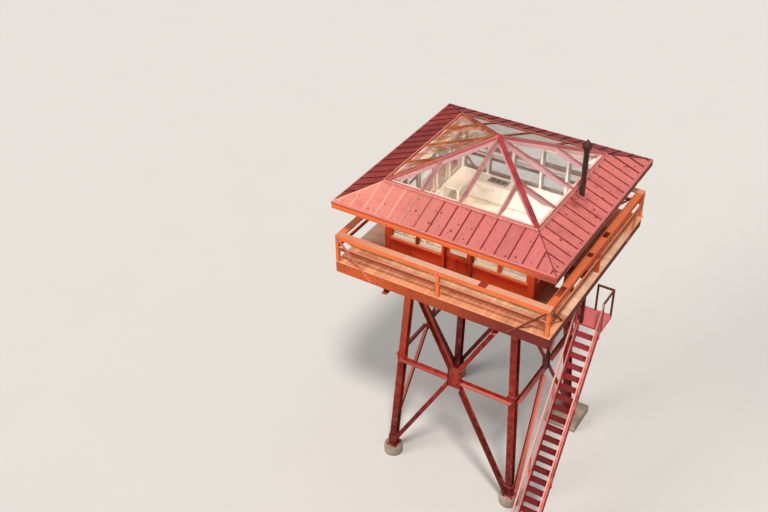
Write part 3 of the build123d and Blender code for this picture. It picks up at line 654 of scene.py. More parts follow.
# The left and back colours of the glass are painted reflections.
ROOF_GLASS = glass("roof_glass", (248, 248, 247), (214, 154, 84), (126, 84, 66), 0.07)
WINDOW_GLASS = glass("window_glass", (250, 250, 249), (226, 224, 226), (214, 211, 210), 0.05)
CONCRETE, STOVE = concrete(), stove_metal()
HOB = plain_metal("hob_enamel", (172, 156, 142), (138, 122, 110), 0.4, 0.0)
GRATE = plain_metal("hob_grate", (112, 98, 88), (84, 72, 66), 0.5, 0.1)
BOLT = plain_metal("bolt_metal", (132, 62, 50), (88, 40, 32), 0.45, 0.5)
BRASS = plain_metal("door_metal", (176, 150, 104), (120, 96, 60), 0.3, 0.9)
FLASHING = plain_metal("flashing_metal", (226, 140, 130), (200, 112, 106), 0.55, 0.0)
FINISH = {
    "roof_slopes": ROOF, "roof_curb": CURB_WOOD, "skylight_frame": SKYLIGHT, "skylight_cap": SKYLIGHT,
    "skylight_glass": ROOF_GLASS, "window_panes": WINDOW_GLASS, "round_piers": CONCRETE,
    "block_pier": CONCRETE, "eave_fascia": FASCIA, "deck_fascia": RIM_WOOD, "floor_joists": MAROON,
    "tower_beams": RED_STEEL, "chimney_pipe": STOVE, "chimney_cap": STOVE, "cab_door": SIDING,
    "counter": CREAM["x"], "side_table": CREAM["y"], "cooktop": HOB, "cab_floor": FLOOR_WOOD,
    "catwalk_deck": DECK_Y_WOOD, "railing_braces": BRACE_WOOD, "eave_rafters": RAFTER_WOOD,
    "stair_treads": TREAD_STEEL, "stair_stringers": STAIR_STEEL, "stair_handrails": HAND_STEEL,
    "stair_landing": PLATE_STEEL, "landing_hangers": GUARD_STEEL, "landing_rail": GUARD_STEEL}

for name, node in NODES.items():
    if name.endswith("_railing"):
        made = ORANGE["x" if name.startswith(("front", "back")) else "y"]
    elif name.endswith("_wall"):
        made = WALL
    elif name.endswith(("_leg", "_bracing")):
        made = RED_STEEL
    else:
        made = FINISH[name]
    node.data.materials.clear()
    node.data.materials.append(made)


# Places as a side of the tower sees them: u to the right, out towards the viewer
def sides(x, y):
    """Each side with what runs along it and what lies out from it."""
    for side in range(4):
        yield (side, x, y) if side % 2 == 0 else (side, y, x)


def side_point(side, u, out, z):
    sx, sy = SIDES[side]
    return Vector((sx * out - sy * u, sy * out + sx * u, z))


def wall_spans(side):
    """Window openings along a wall, as in the solids."""
    shift = (0, CAB_Y - CAB_X)[side % 2]
    middle = MULLION_X + shift / 2
    spans = []
    for sign in (-1, 1):
        for a, b in ((WIN_IN, middle - MULLION_W / 2), (middle + MULLION_W / 2, WIN_OUT + shift)):
            spans.append((min(sign * a, sign * b), max(sign * a, sign * b)))
    if side != FRONT:
        spans.append((-WIN_IN + MULLION_W, WIN_IN - MULLION_W))
    return sorted(spans)


def mullions(side):
    """What is left of a wall between its windows, without the doorway."""
    spans = wall_spans(side)
    pairs = [(a[1], b[0]) for a, b in zip(spans, spans[1:])]
    return [(a, b) for a, b in pairs if side != FRONT or a * b > 0]


def beside_door(side, reach, gap):
    """A run along a wall, in two parts where the door is."""
    return ((-reach, -gap), (gap, reach)) if side == FRONT else ((-reach, reach),)


# Roof
def roof_sides():
    """Each slope with half its length at the eave and at the curb, and its normal."""
    for side, (half_e, half_c), _ in sides((EAVE_X, CURB_X), (EAVE_Y, CURB_Y)):
        corner = roof_point(side, 0, 0)
        normal = (roof_point(side, 1, 0) - corner).cross(roof_point(side, 0, 1) - corner)
        yield side, half_e, half_c, normal.normalized()


def roof_point(side, u, t):
    """A point on a slope; t runs from the eave, 0, to the curb, 1."""
    out_e, out_c = (EAVE_Y, CURB_Y) if side % 2 == 0 else (EAVE_X, CURB_X)
    return side_point(side, u, out_e + (out_c - out_e) * t, EAVE_TOP + (ROOF_MEET - EAVE_TOP) * t)


def make_roof_ribs():
    """A rib with a flat foot on each seam, and a strip down each hip."""
    kit = Kit(3)
    for side, half_e, half_c, normal in roof_sides():
        for k in range(-8, 9):
            u = k * (half_e / SHEETS)
            top = 1.0 if abs(u) < half_c else (half_e - abs(u)) / (half_e - half_c) - 0.03
            ends = roof_point(side, u, 0.045 + 0.02 * kit.dice.random()), roof_point(side, u, top)
            kit.bar(*ends, 0.014, 0.024, normal, 0.011)
            kit.bar(*ends, 0.04, 0.004, normal, 0.001)
    for fx, fy in CORNERS:
        a = Vector((fx * (EAVE_X - 0.03), fy * (EAVE_Y - 0.03), EAVE_TOP + 0.004))
        kit.bar(a, Vector((fx * CURB_X, fy * CURB_Y, ROOF_MEET)), 0.026, 0.022, UP, 0.006)
    kit.make("roof_ribs", RIBS, "roof_metal", 0.003)


def make_eave_boards():
    """The boards along the eaves, each with a thin bead along its foot."""
    kit = Kit(42)
    for side, half, out in sides(EAVE_X, EAVE_Y):
        end = half - (0, 0.039)[side % 2]
        cuts = (-end, -half / 3, half / 3, end)
        for a, b in zip(cuts, cuts[1:]):
            kit.slab(side, (a + BUTT, b - BUTT), (out - 0.038, out - 0.004), (FASCIA_LOW + BEAD, FASCIA_HIGH))
        kit.slab(side, (-end, end), (out - 0.038, out - 0.001), (FASCIA_LOW, FASCIA_LOW + BEAD))
    kit.make("eave_boards", FASCIA, "orange_wood", 0.002, "eave_fascia")


def make_roof_edges():
    """The drip edge with its nails, and the flashing round the curb."""
    drip, flash = Kit(4), Kit(5)
    for side, half_e, half_c, normal in roof_sides():
        for kit, half, t, width, depth, out in ((drip, half_e - 0.03, 0.02, 0.035, 0.004, 0.003),
                                                (flash, half_c + 0.02, 0.965, 0.05, 0.004, 0.033),
                                                (flash, half_c, 0.995, 0.02, 0.05, 0.02)):
            kit.bar(roof_point(side, -half, t), roof_point(side, half, t), width, depth, normal, out)
        for k in range(-8, 9):
            u = (k + 0.5 * (k < 8)) * half_e / SHEETS
            drip.bolt(roof_point(side, u, 0.02) + normal * 0.004, normal, 0.007)
    drip.make("eave_drip_edge", FLASHING, "roof_metal")
    flash.make("curb_flashing", FLASHING, "roof_metal", 0.002)


def make_glazing_caps():
    """Caps over the glazing bars, screwed down."""
    caps, screws = Kit(6), Kit(7)
    apex = Vector((0, 0, CURB_TOP + PYRAMID_H))
    lift = UP * (BAR_OVER + 0.004)

    def cap(a, b, bar, start, end):
        a, b = a.lerp(b, start), a.lerp(b, end)
        caps.bar(a + lift, b + lift, bar * 0.6, 0.008)
        steps = int((b - a).length / 0.3)
        for i in range(steps + 1):
            screws.bolt(a.lerp(b, (i + 0.5) / (steps + 1)) + lift + UP * 0.003, UP, 0.009)

    for side, half, out in sides(CURB_X, CURB_Y):
        a, b = side_point(side, -half, out, CURB_TOP), side_point(side, half, out, CURB_TOP)
        mid = (a + b) / 2
        cap(a, apex, HIP_W, 0.02, 0.9)
        cap(mid, apex, BAR_W, 0.03, 0.9)
        for corner in (a, b):
            cap((corner + mid) / 2, (corner + apex) / 2, BAR_W, 0.05, 0.94)
    caps.make("glazing_caps", SKYLIGHT, "skylight_red", 0.002)
    screws.make("glazing_screws", BOLT, "skylight_red")


def make_chimney_trim():
    """Rings and cap straps on the pipe, and the flashing at its foot."""
    kit, flash = Kit(8), Kit(9)
    low, high = span("chimney_pipe")

    def on_pipe(z):
        return Vector((CHIMNEY_X, 0, z))

    for i, z in enumerate((low.z + 0.42, low.z + 0.86, high.z - 0.12)):
        kit.rod(on_pipe(z), on_pipe(z + 0.03), CHIMNEY_R + 0.006, 24, tone=i / 3)
        kit.rod(on_pipe(z + 0.03), on_pipe(z + 0.036), CHIMNEY_R + 0.003, 24)
    for i in range(4):
        d = flat(math.pi * (0.25 + i / 2))
        foot = on_pipe(high.z - 0.05) + d * (CHIMNEY_R + 0.004)
        kit.bar(foot, on_pipe(high.z + 0.1) + d * (CHIMNEY_R + 0.03), 0.02, 0.004, d)
    kit.make("chimney_rings", STOVE, "stove_pipe", 0.001)
    centre = (EAVE_X - CHIMNEY_X) / (EAVE_X - CURB_X)
    normal = [slope[3] for slope in roof_sides()][RIGHT]
    a, b = roof_point(RIGHT, 0, centre - 0.13), roof_point(RIGHT, 0, centre + 0.13)
    flash.bar(a, b, 0.26, 0.004, normal, 0.03)
    flash.bar(a.lerp(b, 0.02), a.lerp(b, 0.98), 0.22, 0.003, normal, 0.033)
    flash.make("chimney_flashing", ROOF, "roof_metal", 0.002)


# Cab
def make_siding():
    """Lapped boards below the windows, each row in two lengths."""
    kit, rows = Kit(11), 5
    rise = (SILL_Z - 0.05 - DECK_TOP) / rows
    for side, half, out in sides(CAB_X, CAB_Y):
        for a, b in beside_door(side, half - CORNER_W + 0.03, DOOR_W / 2 + 0.075):
            for row in range(rows):
                z0, z1 = DECK_TOP + 0.004 + row * rise, DECK_TOP + 0.004 + (row + 1) * rise
                head, z1 = (0.009, z1 + 0.012) if row < rows - 1 else (0.011, z1)
                profile = ((out - 0.002, z0), (out + 0.024, z0), (out + head, z1), (out - 0.002, z1))
                cut = a + (b - a) * (0.3 + 0.4 * kit.dice.random())
                kit.run(side, a, cut - BUTT, profile)
                kit.run(side, cut + BUTT, b, profile)
    kit.make("siding_boards", SIDING, "red_siding", 0.002)


def make_corner_boards():
    kit = Kit(12)
    for side, half, out in sides(CAB_X, CAB_Y):
        end = half + (0.03, 0)[side % 2]
        for sign in (-1, 1):
            kit.slab(side, (sign * end, sign * (half - CORNER_W)), (out, out + 0.03),
                     (DECK_TOP + 0.002, WALL_TOP - 0.05))
    kit.make("corner_boards", ORANGE["z"], "orange_wood", 0.003)


def make_frieze():
    """Head boards and sills on the walls, and the pale slope before each pane."""
    kit, pale = Kit(13), Kit(41)
    slope = ((-0.021, 0.001), (-0.021, 0.032), (0.032, -0.003), (0.03, -0.0055), (0, -0.0055), (0, 0.001))
    for side, half, out in sides(CAB_X, CAB_Y):
        face, u = out + CASING_T, half - CORNER_W - 0.002
        kit.slab(side, (-u, u), (out, face), (HEAD_Z - 0.01, WALL_TOP - 0.055))
        kit.slab(side, (-u, u), (face, face + 0.012), (HEAD_Z - 0.01, HEAD_Z + 0.02))
        for a, b in beside_door(side, u, DOOR_W / 2 + 0.07):
            kit.slab(side, (a, b), (out, out + 0.034), (SILL_Z - 0.046, SILL_Z - 0.006))
            kit.slab(side, (a + 0.01, b - 0.01), (out, out + 0.03), (SILL_Z - 0.085, SILL_Z - 0.047))
        for a, b in wall_spans(side):
            pale.run(side, a + 0.001, b - 0.001, [(out + o, SILL_Z + z) for o, z in slope])
    kit.make("window_sills", ORANGE["x"], "orange_wood", 0.003)
    pale.make("sill_slopes", SASH, "white_counter", 0.001)


def make_casings():
    """Upright boards beside and between the windows."""
    kit = Kit(14)
    for side, half, out in sides(CAB_X, CAB_Y):
        end, spans = half - CORNER_W, wall_spans(side)
        for a, b in ((-end, spans[0][0]), *mullions(side), (spans[-1][1], end)):
            kit.slab(side, (a - 0.004, b + 0.004), (out, out + CASING_T), (SILL_Z - 0.006, HEAD_Z - 0.01))
    kit.make("window_casings", ORANGE["z"], "orange_wood", 0.003)


def make_sashes():
    """A frame with a middle bar on both faces of every pane."""
    outer, inner = Kit(15), Kit(16)
    middle = (SILL_Z + HEAD_Z) / 2
    for side, _, out in sides(CAB_X, CAB_Y):
        pane = out - WALL_T / 2
        for a, b in wall_spans(side):
            for kit, o, wide, foot in ((outer, (pane + SASH_GAP, out - 0.022), 0.022, 0.09),
                                       (inner, (out - WALL_T + 0.02, pane - SASH_GAP), 0.018, 0.024)):
                for u in ((a, a + wide), (b - wide, b)):
                    kit.slab(side, u, o, (SILL_Z, HEAD_Z))
                u = (a + wide, b - wide)
                kit.slab(side, u, o, (SILL_Z, SILL_Z + foot))
                kit.slab(side, u, o, (HEAD_Z - wide, HEAD_Z))
                kit.slab(side, u, (o[0] + 0.008, o[1] - 0.008), (middle - 0.011, middle + 0.011))
    outer.make("window_sashes", SASH, "white_counter", 0.002)
    inner.make("inner_sashes", SHADED_STILE, "white_counter", 0.002)


def make_inner_trim():
    """Cream boards, posts and stools inside the cab."""
    lining, posts = Kit(17), Kit(18)
    for side, half, out in sides(CAB_X, CAB_Y):
        inside, reach = out - WALL_T, half - WALL_T
        gap = DOOR_W / 2 + 0.06 if side == FRONT else 0
        count = int(2 * reach / LINING_W)
        for i in range(count):
            u0 = -reach + i * 2 * reach / count
            u1 = u0 + 2 * reach / count
            if not gap or u1 <= -gap or u0 >= gap:
                lining.slab(side, (u0 + 0.002, u1 - 0.002), (inside - 0.014, inside + 0.001),
                            (DECK_TOP + 0.003, SILL_Z - 0.03))
        boards = []
        for run in beside_door(side, reach, gap):
            boards += [(run, 0.05, 0.03, (SILL_Z - 0.03, SILL_Z - 0.001)),
                       (run, 0.02, 0, (DECK_TOP, DECK_TOP + 0.09))]
        boards.append(((-reach, reach), 0.022, 0, (HEAD_Z - 0.01, HEAD_Z + 0.07)))
        boards += [((a + 0.018, b - 0.018), 0.02, 0, (SILL_Z, HEAD_Z - 0.01)) for a, b in mullions(side)]
        boards += [((sign * reach, sign * (reach - 0.06)), 0.025, 0, (SILL_Z, HEAD_Z - 0.01))
                   for sign in (-1, 1)]
        for u, proud, sunk, z in boards:
            posts.slab(side, u, (inside - proud, inside + sunk), z)
    lining.make("wall_lining", CREAM["z"], "white_counter", 0.002)
    posts.make("inner_casings", CREAM["z"], "white_counter", 0.003)


def make_door_trim():
    """The door's casing and sill, its panels and beads, its hinges, knob and lock."""
    trim, leaf, metal = Kit(19), Kit(20), Kit(21)
    half, out = DOOR_W / 2, CAB_Y
    for sign in (-1, 1):
        trim.slab(FRONT, (sign * half, sign * (half + 0.07)), (out, out + 0.03),
                  (DECK_TOP + 0.002, DOOR_HEAD + 0.07))
        trim.slab(FRONT, (sign * (half - 0.003), sign * (half - 0.016)), (out - 0.035, out),
                  (DECK_TOP + 0.02, DOOR_HEAD - 0.02))
    trim.slab(FRONT, (-half, half), (out, out + 0.03), (DOOR_HEAD, DOOR_HEAD + 0.07))
    trim.slab(FRONT, (-half - 0.02, half + 0.02), (out - 0.03, out + 0.07),
              (DECK_TOP + 0.001, DECK_TOP + 0.026))
    trim.make("door_casing", ORANGE["z"], "orange_wood", 0.003)
    face, stile = out - WALL_T / 2 + 0.021, half - 0.11
    low, high = DECK_TOP + 0.16, SILL_Z - 0.08
    for a, b in ((-stile + 0.02, -0.03), (0.03, stile - 0.02)):
        leaf.slab(FRONT, (a, b), (face, face + 0.01), (low, high))
        leaf.slab(FRONT, (a + 0.035, b - 0.035), (face + 0.01, face + 0.017), (low + 0.035, high - 0.035))
    leaf.slab(FRONT, (-stile, stile), (face, face + 0.012), (SILL_Z - 0.01, SILL_Z + 0.02))
    for u in ((-stile - 0.004, -stile + 0.02), (stile - 0.02, stile + 0.004)):
        leaf.slab(FRONT, u, (face - 0.01, face + 0.012), (SILL_Z + 0.02, DOOR_HEAD - 0.12))
    leaf.make("door_mouldings", SIDING, "red_siding", 0.002)
    for z in (DECK_TOP + 0.2, (low + high) / 2 + 0.6, DOOR_HEAD - 0.3):
        at = side_point(FRONT, -half + 0.012, face + 0.008, z)
        metal.rod(at, at + UP * 0.09, 0.007, 10)
        metal.slab(FRONT, (-half + 0.008, -half + 0.045), (face - 0.002, face + 0.003), (z, z + 0.09))
    for start, end, *shape in ((0, 0.008, 0.028, 20), (0.008, 0.04, 0.01, 12), (0.04, 0.055, 0.02, 16, 0.027),
                               (0.055, 0.07, 0.027, 16, 0.016)):
        metal.rod(*(side_point(FRONT, half - 0.055, face + o, DECK_TOP + 0.98) for o in (start, end)), *shape)
    metal.slab(FRONT, (half - 0.07, half - 0.04), (face, face + 0.003), (DECK_TOP + 0.82, DECK_TOP + 0.9))
    metal.make("door_hardware", BRASS, "stove_pipe", 0.001)


# Floors
def board_edges(low, high):
    """Evenly spaced boards between two edges."""
    count = max(1, round((high - low) / (BOARD + BOARD_GAP)))
    step = (high - low) / count
    return [(low + i * step + BOARD_GAP / 2, low + (i + 1) * step - BOARD_GAP / 2) for i in range(count)]


def make_deck_boards():
    """The catwalk's boards: nailed ones in front and behind, cut round the hatch at the right."""
    ends, flanks, nails = Kit(22), Kit(23), Kit(24)
    for fy in (-1, 1):
        y0, y1 = sorted((fy * DECK_Y, fy * (CAB_Y + 0.001)))
        for x0, x1 in board_edges(-DECK_X, DECK_RIGHT):
            ends.box((x0, x1), (y0, y1), (JOIST_TOP, DECK_TOP - BUTT * ends.dice.random()))
            for y in (y0 + (y1 - y0) * k for k in (0.03, 0.5, 0.97)):
                for x in (x0 + 0.035, x1 - 0.035):
                    nails.rod((x, y, DECK_TOP - 0.002), (x, y, DECK_TOP + 0.0005), 0.005, 6)
    for fx in (-1, 1):
        x_in, x_out = fx * (CAB_X + 0.001), DECK_RIGHT if fx > 0 else -DECK_X
        for y0, y1 in board_edges(-CAB_Y, CAB_Y):
            z = (JOIST_TOP, DECK_TOP - BUTT * flanks.dice.random())
            runs = [(x_in, x_out)]
            if fx > 0 and y1 > HATCH_Y[0] and y0 < HATCH_Y[1]:
                runs = [(x_in, HATCH_X[0]), (HATCH_X[1], x_out)]
                y0, y1 = max(y0, HATCH_Y[0]), min(y1, HATCH_Y[1])
            for run in runs:
                flanks.box(sorted(run), (y0, y1), z)
    for y0, y1 in ((HATCH_Y[0] - 0.05, HATCH_Y[0]), (HATCH_Y[1], HATCH_Y[1] + 0.05)):
        flanks.box(HATCH_X, (y0 + 0.002, y1 - 0.002), (JOIST_TOP, DECK_TOP + 0.012))
    ends.make("deck_boards_ends", DECK_Y_WOOD, "deck_wood", 0.003, "catwalk_deck")
    flanks.make("deck_boards_sides", DECK_X_WOOD, "deck_wood", 0.003, "catwalk_deck")
    nails.make("deck_nails", BOLT, "stove_pipe")


def make_cab_floor():
    kit, count = Kit(25), 46
    step = 2 * CAB_X / count
    for i in range(count):
        x = -CAB_X + i * step
        cut = CAB_Y * (kit.dice.random() * 1.2 - 0.6)
        for y in ((-CAB_Y, cut - 0.001), (cut + 0.001, CAB_Y)):
            kit.box((x + 0.001, x + step - 0.001), y, (JOIST_TOP, DECK_TOP))
    kit.make("cab_floor_boards", FLOOR_WOOD, "deck_wood", 0.0015, "cab_floor")


def make_counter_fronts():
    """The counter's doors, drawers, knobs and back board, and the hob's rings."""
    kit, knobs, hob = Kit(26), Kit(27), Kit(28)
    low, high = span("counter")
    face, top, count = low.y + 0.02, high.z, 8
    step = (high.x - low.x) / count
    for i in range(count):
        x0, x1 = low.x + i * step + 0.008, low.x + (i + 1) * step - 0.008
        kit.box((x0, x1), (face - 0.016, face), (DECK_TOP + 0.07, top - 0.2))
        kit.box((x0 + 0.045, x1 - 0.045), (face - 0.021, face - 0.016), (DECK_TOP + 0.115, top - 0.245))
        kit.box((x0, x1), (face - 0.016, face), (top - 0.185, top - 0.05))
        for x, z in ((x1 - 0.05, top - 0.26), ((x0 + x1) / 2, top - 0.118)):
            knobs.rod((x, face - 0.016, z), (x, face - 0.03, z), 0.006, 10)
            knobs.rod((x, face - 0.03, z), (x, face - 0.042, z), 0.014, 12, 0.01)
    kit.box((low.x, high.x), (high.y - 0.016, high.y), (top, top + 0.03))
    kit.make("counter_fronts", CREAM["z"], "white_counter", 0.003)
    knobs.make("counter_knobs", BRASS, "white_counter")
    low, high = span("cooktop")
    for share in (0.22, 0.5, 0.78):
        at = Vector((low.x + (high.x - low.x) * share, (low.y + high.y) / 2, high.z))
        hob.rod(at, at + UP * 0.006, 0.075, 28)
        hob.rod(at + UP * 0.006, at + UP * 0.014, 0.035, 20, 0.028)
        at += UP * 0.016
        for arm in (flat(turn * math.pi / 2 + 0.785) for turn in range(4)):
            hob.bar(at + arm * 0.02, at + arm * 0.085, 0.006, 0.008)
    hob.make("hob_burners", GRATE, "cooktop_metal", 0.001)


def make_rail_bolts():
    """Bolts through the posts and the rim, and plugs in the rail caps."""
    kit = Kit(29)
    for side, half, out in sides(DECK_X, DECK_Y):
        away = side_point(side, 0, 1, 0)
        for u in (0, -half + 0.045, half - 0.045):
            for z in (RAIL_TOP - 0.085, DECK_TOP + 0.41, DECK_TOP + 0.44, RAIL_TOP - 0.115):
                kit.bolt(side_point(side, u + 0.018, out, z), away, 0.009)
        for i in range(12):
            u = -half + 0.26 + i * (2 * half - 0.52) / 11
            for z in (JOIST_LOW + 0.07, JOIST_TOP - 0.07):
                kit.bolt(side_point(side, u, out, z), away, 0.012)
        reach = half - (0, 0.2)[side % 2]
        for i in range(9):
            u = -reach + 0.1 + i * (2 * reach - 0.2) / 8
            for inset in (0.05, 0.15):
                at = side_point(side, u, out - inset, RAIL_TOP - 0.001)
                kit.rod(at, at + UP * 0.002, 0.007, 8)
    kit.make("railing_bolts", BOLT, "orange_wood")


# Steelwork
def leg_point(fx, fy, z):
    foot, head = LEGS[fx, fy]
    return foot.lerp(head, (z - foot.z) / (head.z - foot.z))


def face_plane(side):
    """The two legs of a side, and the directions along, up and out of their plane."""
    sx, sy = SIDES[side]
    ends = ((-1, sy), (1, sy)) if sy else ((sx, -1), (sx, 1))
    (a, b), (c, d) = ([leg_point(*e, z) for e in ends] for z in (BRACE_LOW, BRACE_HIGH))
    along = (b - a).normalized()
    rise = ((c + d) / 2 - (a + b) / 2).normalized()
    normal = along.cross(rise).normalized()
    return ends, along, rise, -normal if normal.x * sx + normal.y * sy < 0 else normal


def make_steel_plates():
    """End plates and gusset edges on the bracing, with their bolts."""
    plates, bolts = Kit(31), Kit(32)
    for side in range(4):
        ends, along, rise, normal = face_plane(side)
        out = LEG / 2 + ANGLE_T
        for end, inward in zip(ends, (along, -along)):
            for z, wide, tall in ((STRUT_Z, 0.24, 0.3), (BRACE_HIGH - 0.08, 0.26, 0.34),
                                  (BRACE_LOW + 0.1, 0.26, 0.34)):
                centre = leg_point(*end, z) + normal * (out + PLATE_T / 2) + inward * (wide / 2 - 0.1)
                plates.bar(centre - rise * tall / 2, centre + rise * tall / 2, wide, PLATE_T, normal)
                centre += normal * PLATE_T / 2
                for i in (-0.36, 0, 0.36):
                    for j in (-0.32, 0.32):
                        bolts.bolt(centre + rise * (i * tall) + along * (j * wide), normal, 0.015)
        centre = (leg_point(*ends[0], STRUT_Z) + leg_point(*ends[1], STRUT_Z)) / 2
        face = centre + normal * (out + GUSSET_T)
        slanted = [(0.085 + 0.042 * i, sz * (0.15 + 0.068 * i)) for i in range(3) for sz in (-1, 1)]
        for sx in (-1, 1):
            for u, z in (*slanted, (0.1, -0.02), (0.17, -0.02)):
                bolts.bolt(face + along * sx * u + rise * z, normal, 0.015)
            edge = face + along * sx * (GUSSET_W / 2 - 0.006)
            plates.bar(edge - rise * GUSSET_H / 2, edge + rise * GUSSET_H / 2, 0.012, 0.03, normal, 0.015)
    plates.make("brace_plates", RED_STEEL, "red_steel", 0.002)
    bolts.make("steel_bolts", BOLT, "red_steel")


def make_base_details():
    """Anchor bolts, stiffeners and grout at the leg feet."""
    kit, bolts, grout = Kit(33), Kit(34), Kit(35)
    for (fx, fy), (foot, _) in LEGS.items():
        x, y = foot.x, foot.y
        for sx, sy in CORNERS:
            at = Vector((x + sx * (BASE_HALF - 0.035), y + sy * (BASE_HALF - 0.035), PIER_TOP + 0.02))
            bolts.bolt(at, UP, 0.02)
            bolts.rod(at, at + UP * 0.045, 0.01, 10)
        lean = leg_point(fx, fy, PIER_TOP + 0.2) - leg_point(fx, fy, PIER_TOP + 0.02)
        for s in (-1, 1):
            low = Vector((x + s * 0.1, y, PIER_TOP + 0.021))
            shape = [low + up + Vector((s * u, 0, 0)) for up, u in
                     ((Vector(), 0.002), (Vector(), 0.06), (lean, 0.012), (lean, 0.002))]
            kit.loft(*([p + Vector((0, y, 0)) for p in shape] for y in (-0.006, 0.006)))
        edge = BASE_HALF + 0.02
        ring = ((-edge, -edge), (edge, -edge), (edge, edge), (-edge, edge))
        grout.loft([(x + u * 1.12, y + v * 1.12, PIER_TOP - 0.002) for u, v in ring],
                   [(x + u, y + v, PIER_TOP + 0.014) for u, v in ring])
    kit.make("base_stiffeners", RED_STEEL, "red_steel", 0.001)
    bolts.make("anchor_bolts", BOLT, "red_steel")
    grout.make("grout_pads", CONCRETE, "concrete", 0.004)


def make_beam_details():
    """Web stiffeners and bolts where the beams cross the leg heads."""
    kit, bolts = Kit(36), Kit(37)
    for fx in (-1, 1):
        head = LEGS[fx, 1][1]
        x = fx * (abs(head.x) + 0.02)
        for fy in (-1, 0, 1):
            y = fy * abs(head.y)
            for s in (-1, 1):
                kit.box(sorted((x + s * 0.009, x + s * 0.075)), (y - 0.005, y + 0.005),
                        (LEG_TOP + 0.015, JOIST_LOW - 0.015))
                if fy:
                    for dy in (0.05, -0.05):
                        bolts.bolt((x + s * 0.055, y + dy, LEG_TOP + 0.014), UP, 0.013)
    kit.make("beam_stiffeners", RED_STEEL, "red_steel", 0.001)
    bolts.make("beam_bolts", BOLT, "red_steel")


# Stair
def solids_of(node):
    """Corner boxes of the separate solids of a CAD node, from the tower's axis."""
    work = bmesh.new()
    work.from_mesh(NODES[node].data)
    bmesh.ops.remove_doubles(work, verts=work.verts, dist=1e-5)
    left, boxes = set(work.verts), []
    while left:
        stack, group = [left.pop()], []
        while stack:
            v = stack.pop()
            group.append(v.co.copy())
            for other in {edge.other_vert(v) for edge in v.link_edges} & left:
                left.remove(other)
                stack.append(other)
        boxes.append([Vector([pick(p[i] for p in group) for i in range(3)]) - HOME for pick in (min, max)])
    work.free()
    return sorted(boxes, key=lambda b: (round(b[0].z, 3), round(b[0].x, 3)))


def make_stair_details():
    """Grip bars, end bolts and brackets on the treads, and the landing's chequer plate."""
    grip, bolts, plate = Kit(38), Kit(39), Kit(40)
    for low, high in solids_of("stair_treads"):
        depth = high.y - low.y
        for k in (0.12, 0.37, 0.63, 0.88):
            y = low.y + depth * k
            grip.box((low.x + 0.03, high.x - 0.03), (y - 0.006, y + 0.006), (high.z, high.z + 0.005))
        for x, s in ((low.x, -1), (high.x, 1)):
            for k in (0.25, 0.75):
                bolts.bolt((x + s * 0.04, low.y + depth * k, high.z - 0.02), (s, 0, 0), 0.01)
            grip.box(sorted((x, x - s * 0.035)), (low.y + 0.02, high.y - 0.02), (low.z - 0.006, low.z))
    low, high = span("stair_landing")
    columns, rows = 22, 13
    for i in range(columns):
        for j in range(rows):
            at = Vector((low.x + 0.05 + i * (high.x - low.x - 0.1) / (columns - 1),
                         low.y + 0.05 + j * (high.y - low.y - 0.1) / (rows - 1), high.z))
            d = Vector((0.011, 0.011 if (i + j) % 2 else -0.011, 0))
            plate.bar(at - d, at + d, 0.007, 0.004)
    for x in (low.x + 0.04, high.x - 0.04):
        plate.box((x - 0.04, x + 0.04), (low.y + 0.002, high.y - 0.002), (low.z - 0.05, low.z))
    grip.make("tread_grips", TREAD_STEEL, "stair_steel", 0.001)
    bolts.make("stair_bolts", BOLT, "stair_steel")
    plate.make("landing_plate", PLATE_STEEL, "stair_steel", 0.001)


for make in (make_roof_ribs, make_eave_boards, make_roof_edges, make_glazing_caps, make_chimney_trim,
             make_siding, make_corner_boards, make_frieze, make_casings, make_sashes, make_inner_trim,
             make_door_trim, make_deck_boards, make_cab_floor, make_counter_fronts, make_rail_bolts,
             make_steel_plates, make_base_details, make_beam_details, make_stair_details):
    make()


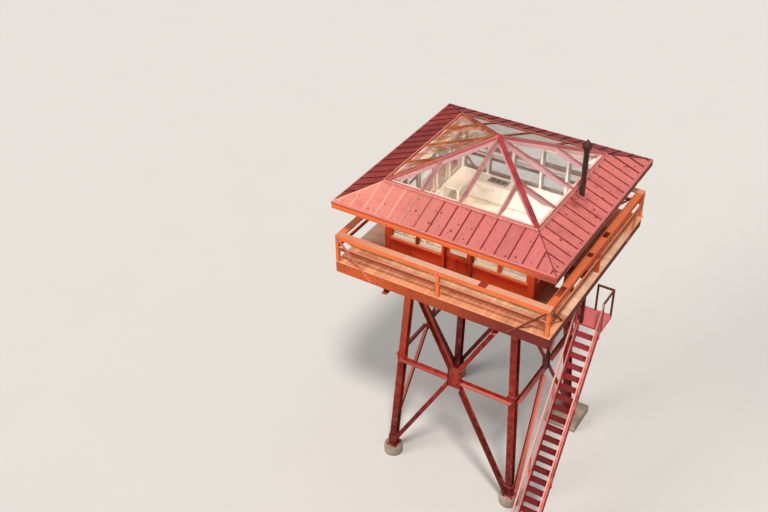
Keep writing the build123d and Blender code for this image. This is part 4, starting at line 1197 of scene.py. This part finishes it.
# Floor, light and camera
def make_stage():
    mesh = bpy.data.meshes.new("studio_floor")
    count, radius = 64, 90.0
    rim = [flat(2 * math.pi * i / count) * radius for i in range(count)]
    mesh.from_pydata(rim, [], [tuple(range(count))])
    mesh.materials.append(floor_paint())
    placed("studio_floor", mesh)

    # name, strength, softness, colour, degrees right of the front, degrees up
    suns = (("key", 1.95, 9, (1.0, 0.95, 0.9), 34, 60), ("fill", 1.75, 30, (1.0, 0.97, 0.94), -36, 22))
    for name, energy, soft, colour, turn, rise in suns:
        lamp = bpy.data.lights.new(name, "SUN")
        lamp.energy, lamp.angle, lamp.color = energy, math.radians(soft), colour
        sun = placed(name, lamp)
        turn, rise = math.radians(turn - 90), math.radians(rise)
        towards = flat(turn) * math.cos(rise) + UP * math.sin(rise)
        sun.rotation_mode = "QUATERNION"
        sun.rotation_quaternion = towards.to_track_quat("Z", "Y")

    world = bpy.data.worlds.new("studio")
    bpy.context.scene.world = world
    world.use_nodes = True
    world.node_tree.nodes.clear()
    graph = Graph(world.node_tree)
    fill = graph.node("Background", {"Color": (0.95, 0.97, 1.0, 1), "Strength": 0.33})
    white = graph.node("Background", {"Color": (1, 1, 1, 1), "Strength": 0.9})
    mixed = graph.node("MixShader", {0: graph.rays("Camera", "Transmission"), 1: fill, 2: white})
    graph.put(mixed, graph.nodes.new("ShaderNodeOutputWorld").inputs["Surface"])


def make_camera():
    """The camera that was fitted to the photograph's corners."""
    place = Vector((10.2145, -21.6306, 24.0734))
    yaw, pitch, roll = math.radians(-32.414), math.radians(-35.938), math.radians(-0.742)
    ahead = Vector((math.sin(yaw) * math.cos(pitch), math.cos(yaw) * math.cos(pitch), math.sin(pitch)))
    right = Vector((math.cos(yaw), -math.sin(yaw), 0))
    up = right.cross(ahead)
    across = right * math.cos(roll) + up * math.sin(roll)
    above = up * math.cos(roll) - right * math.sin(roll)
    data = bpy.data.cameras.new("camera")
    sensor, focal, picture = 36.0, 1066.0, 768.0  # the last two in pixels
    data.sensor_width, data.lens = sensor, focal / picture * sensor
    data.clip_end = 400.0
    camera = placed("camera", data)
    matrix = camera.matrix_world.copy()
    for i, row in enumerate(zip(across, above, -ahead, place + HOME)):
        matrix[i][:] = row
    camera.matrix_world = matrix
    bpy.context.scene.camera = camera


make_stage()
make_camera()
bpy.context.scene.view_settings.view_transform = "Standard"
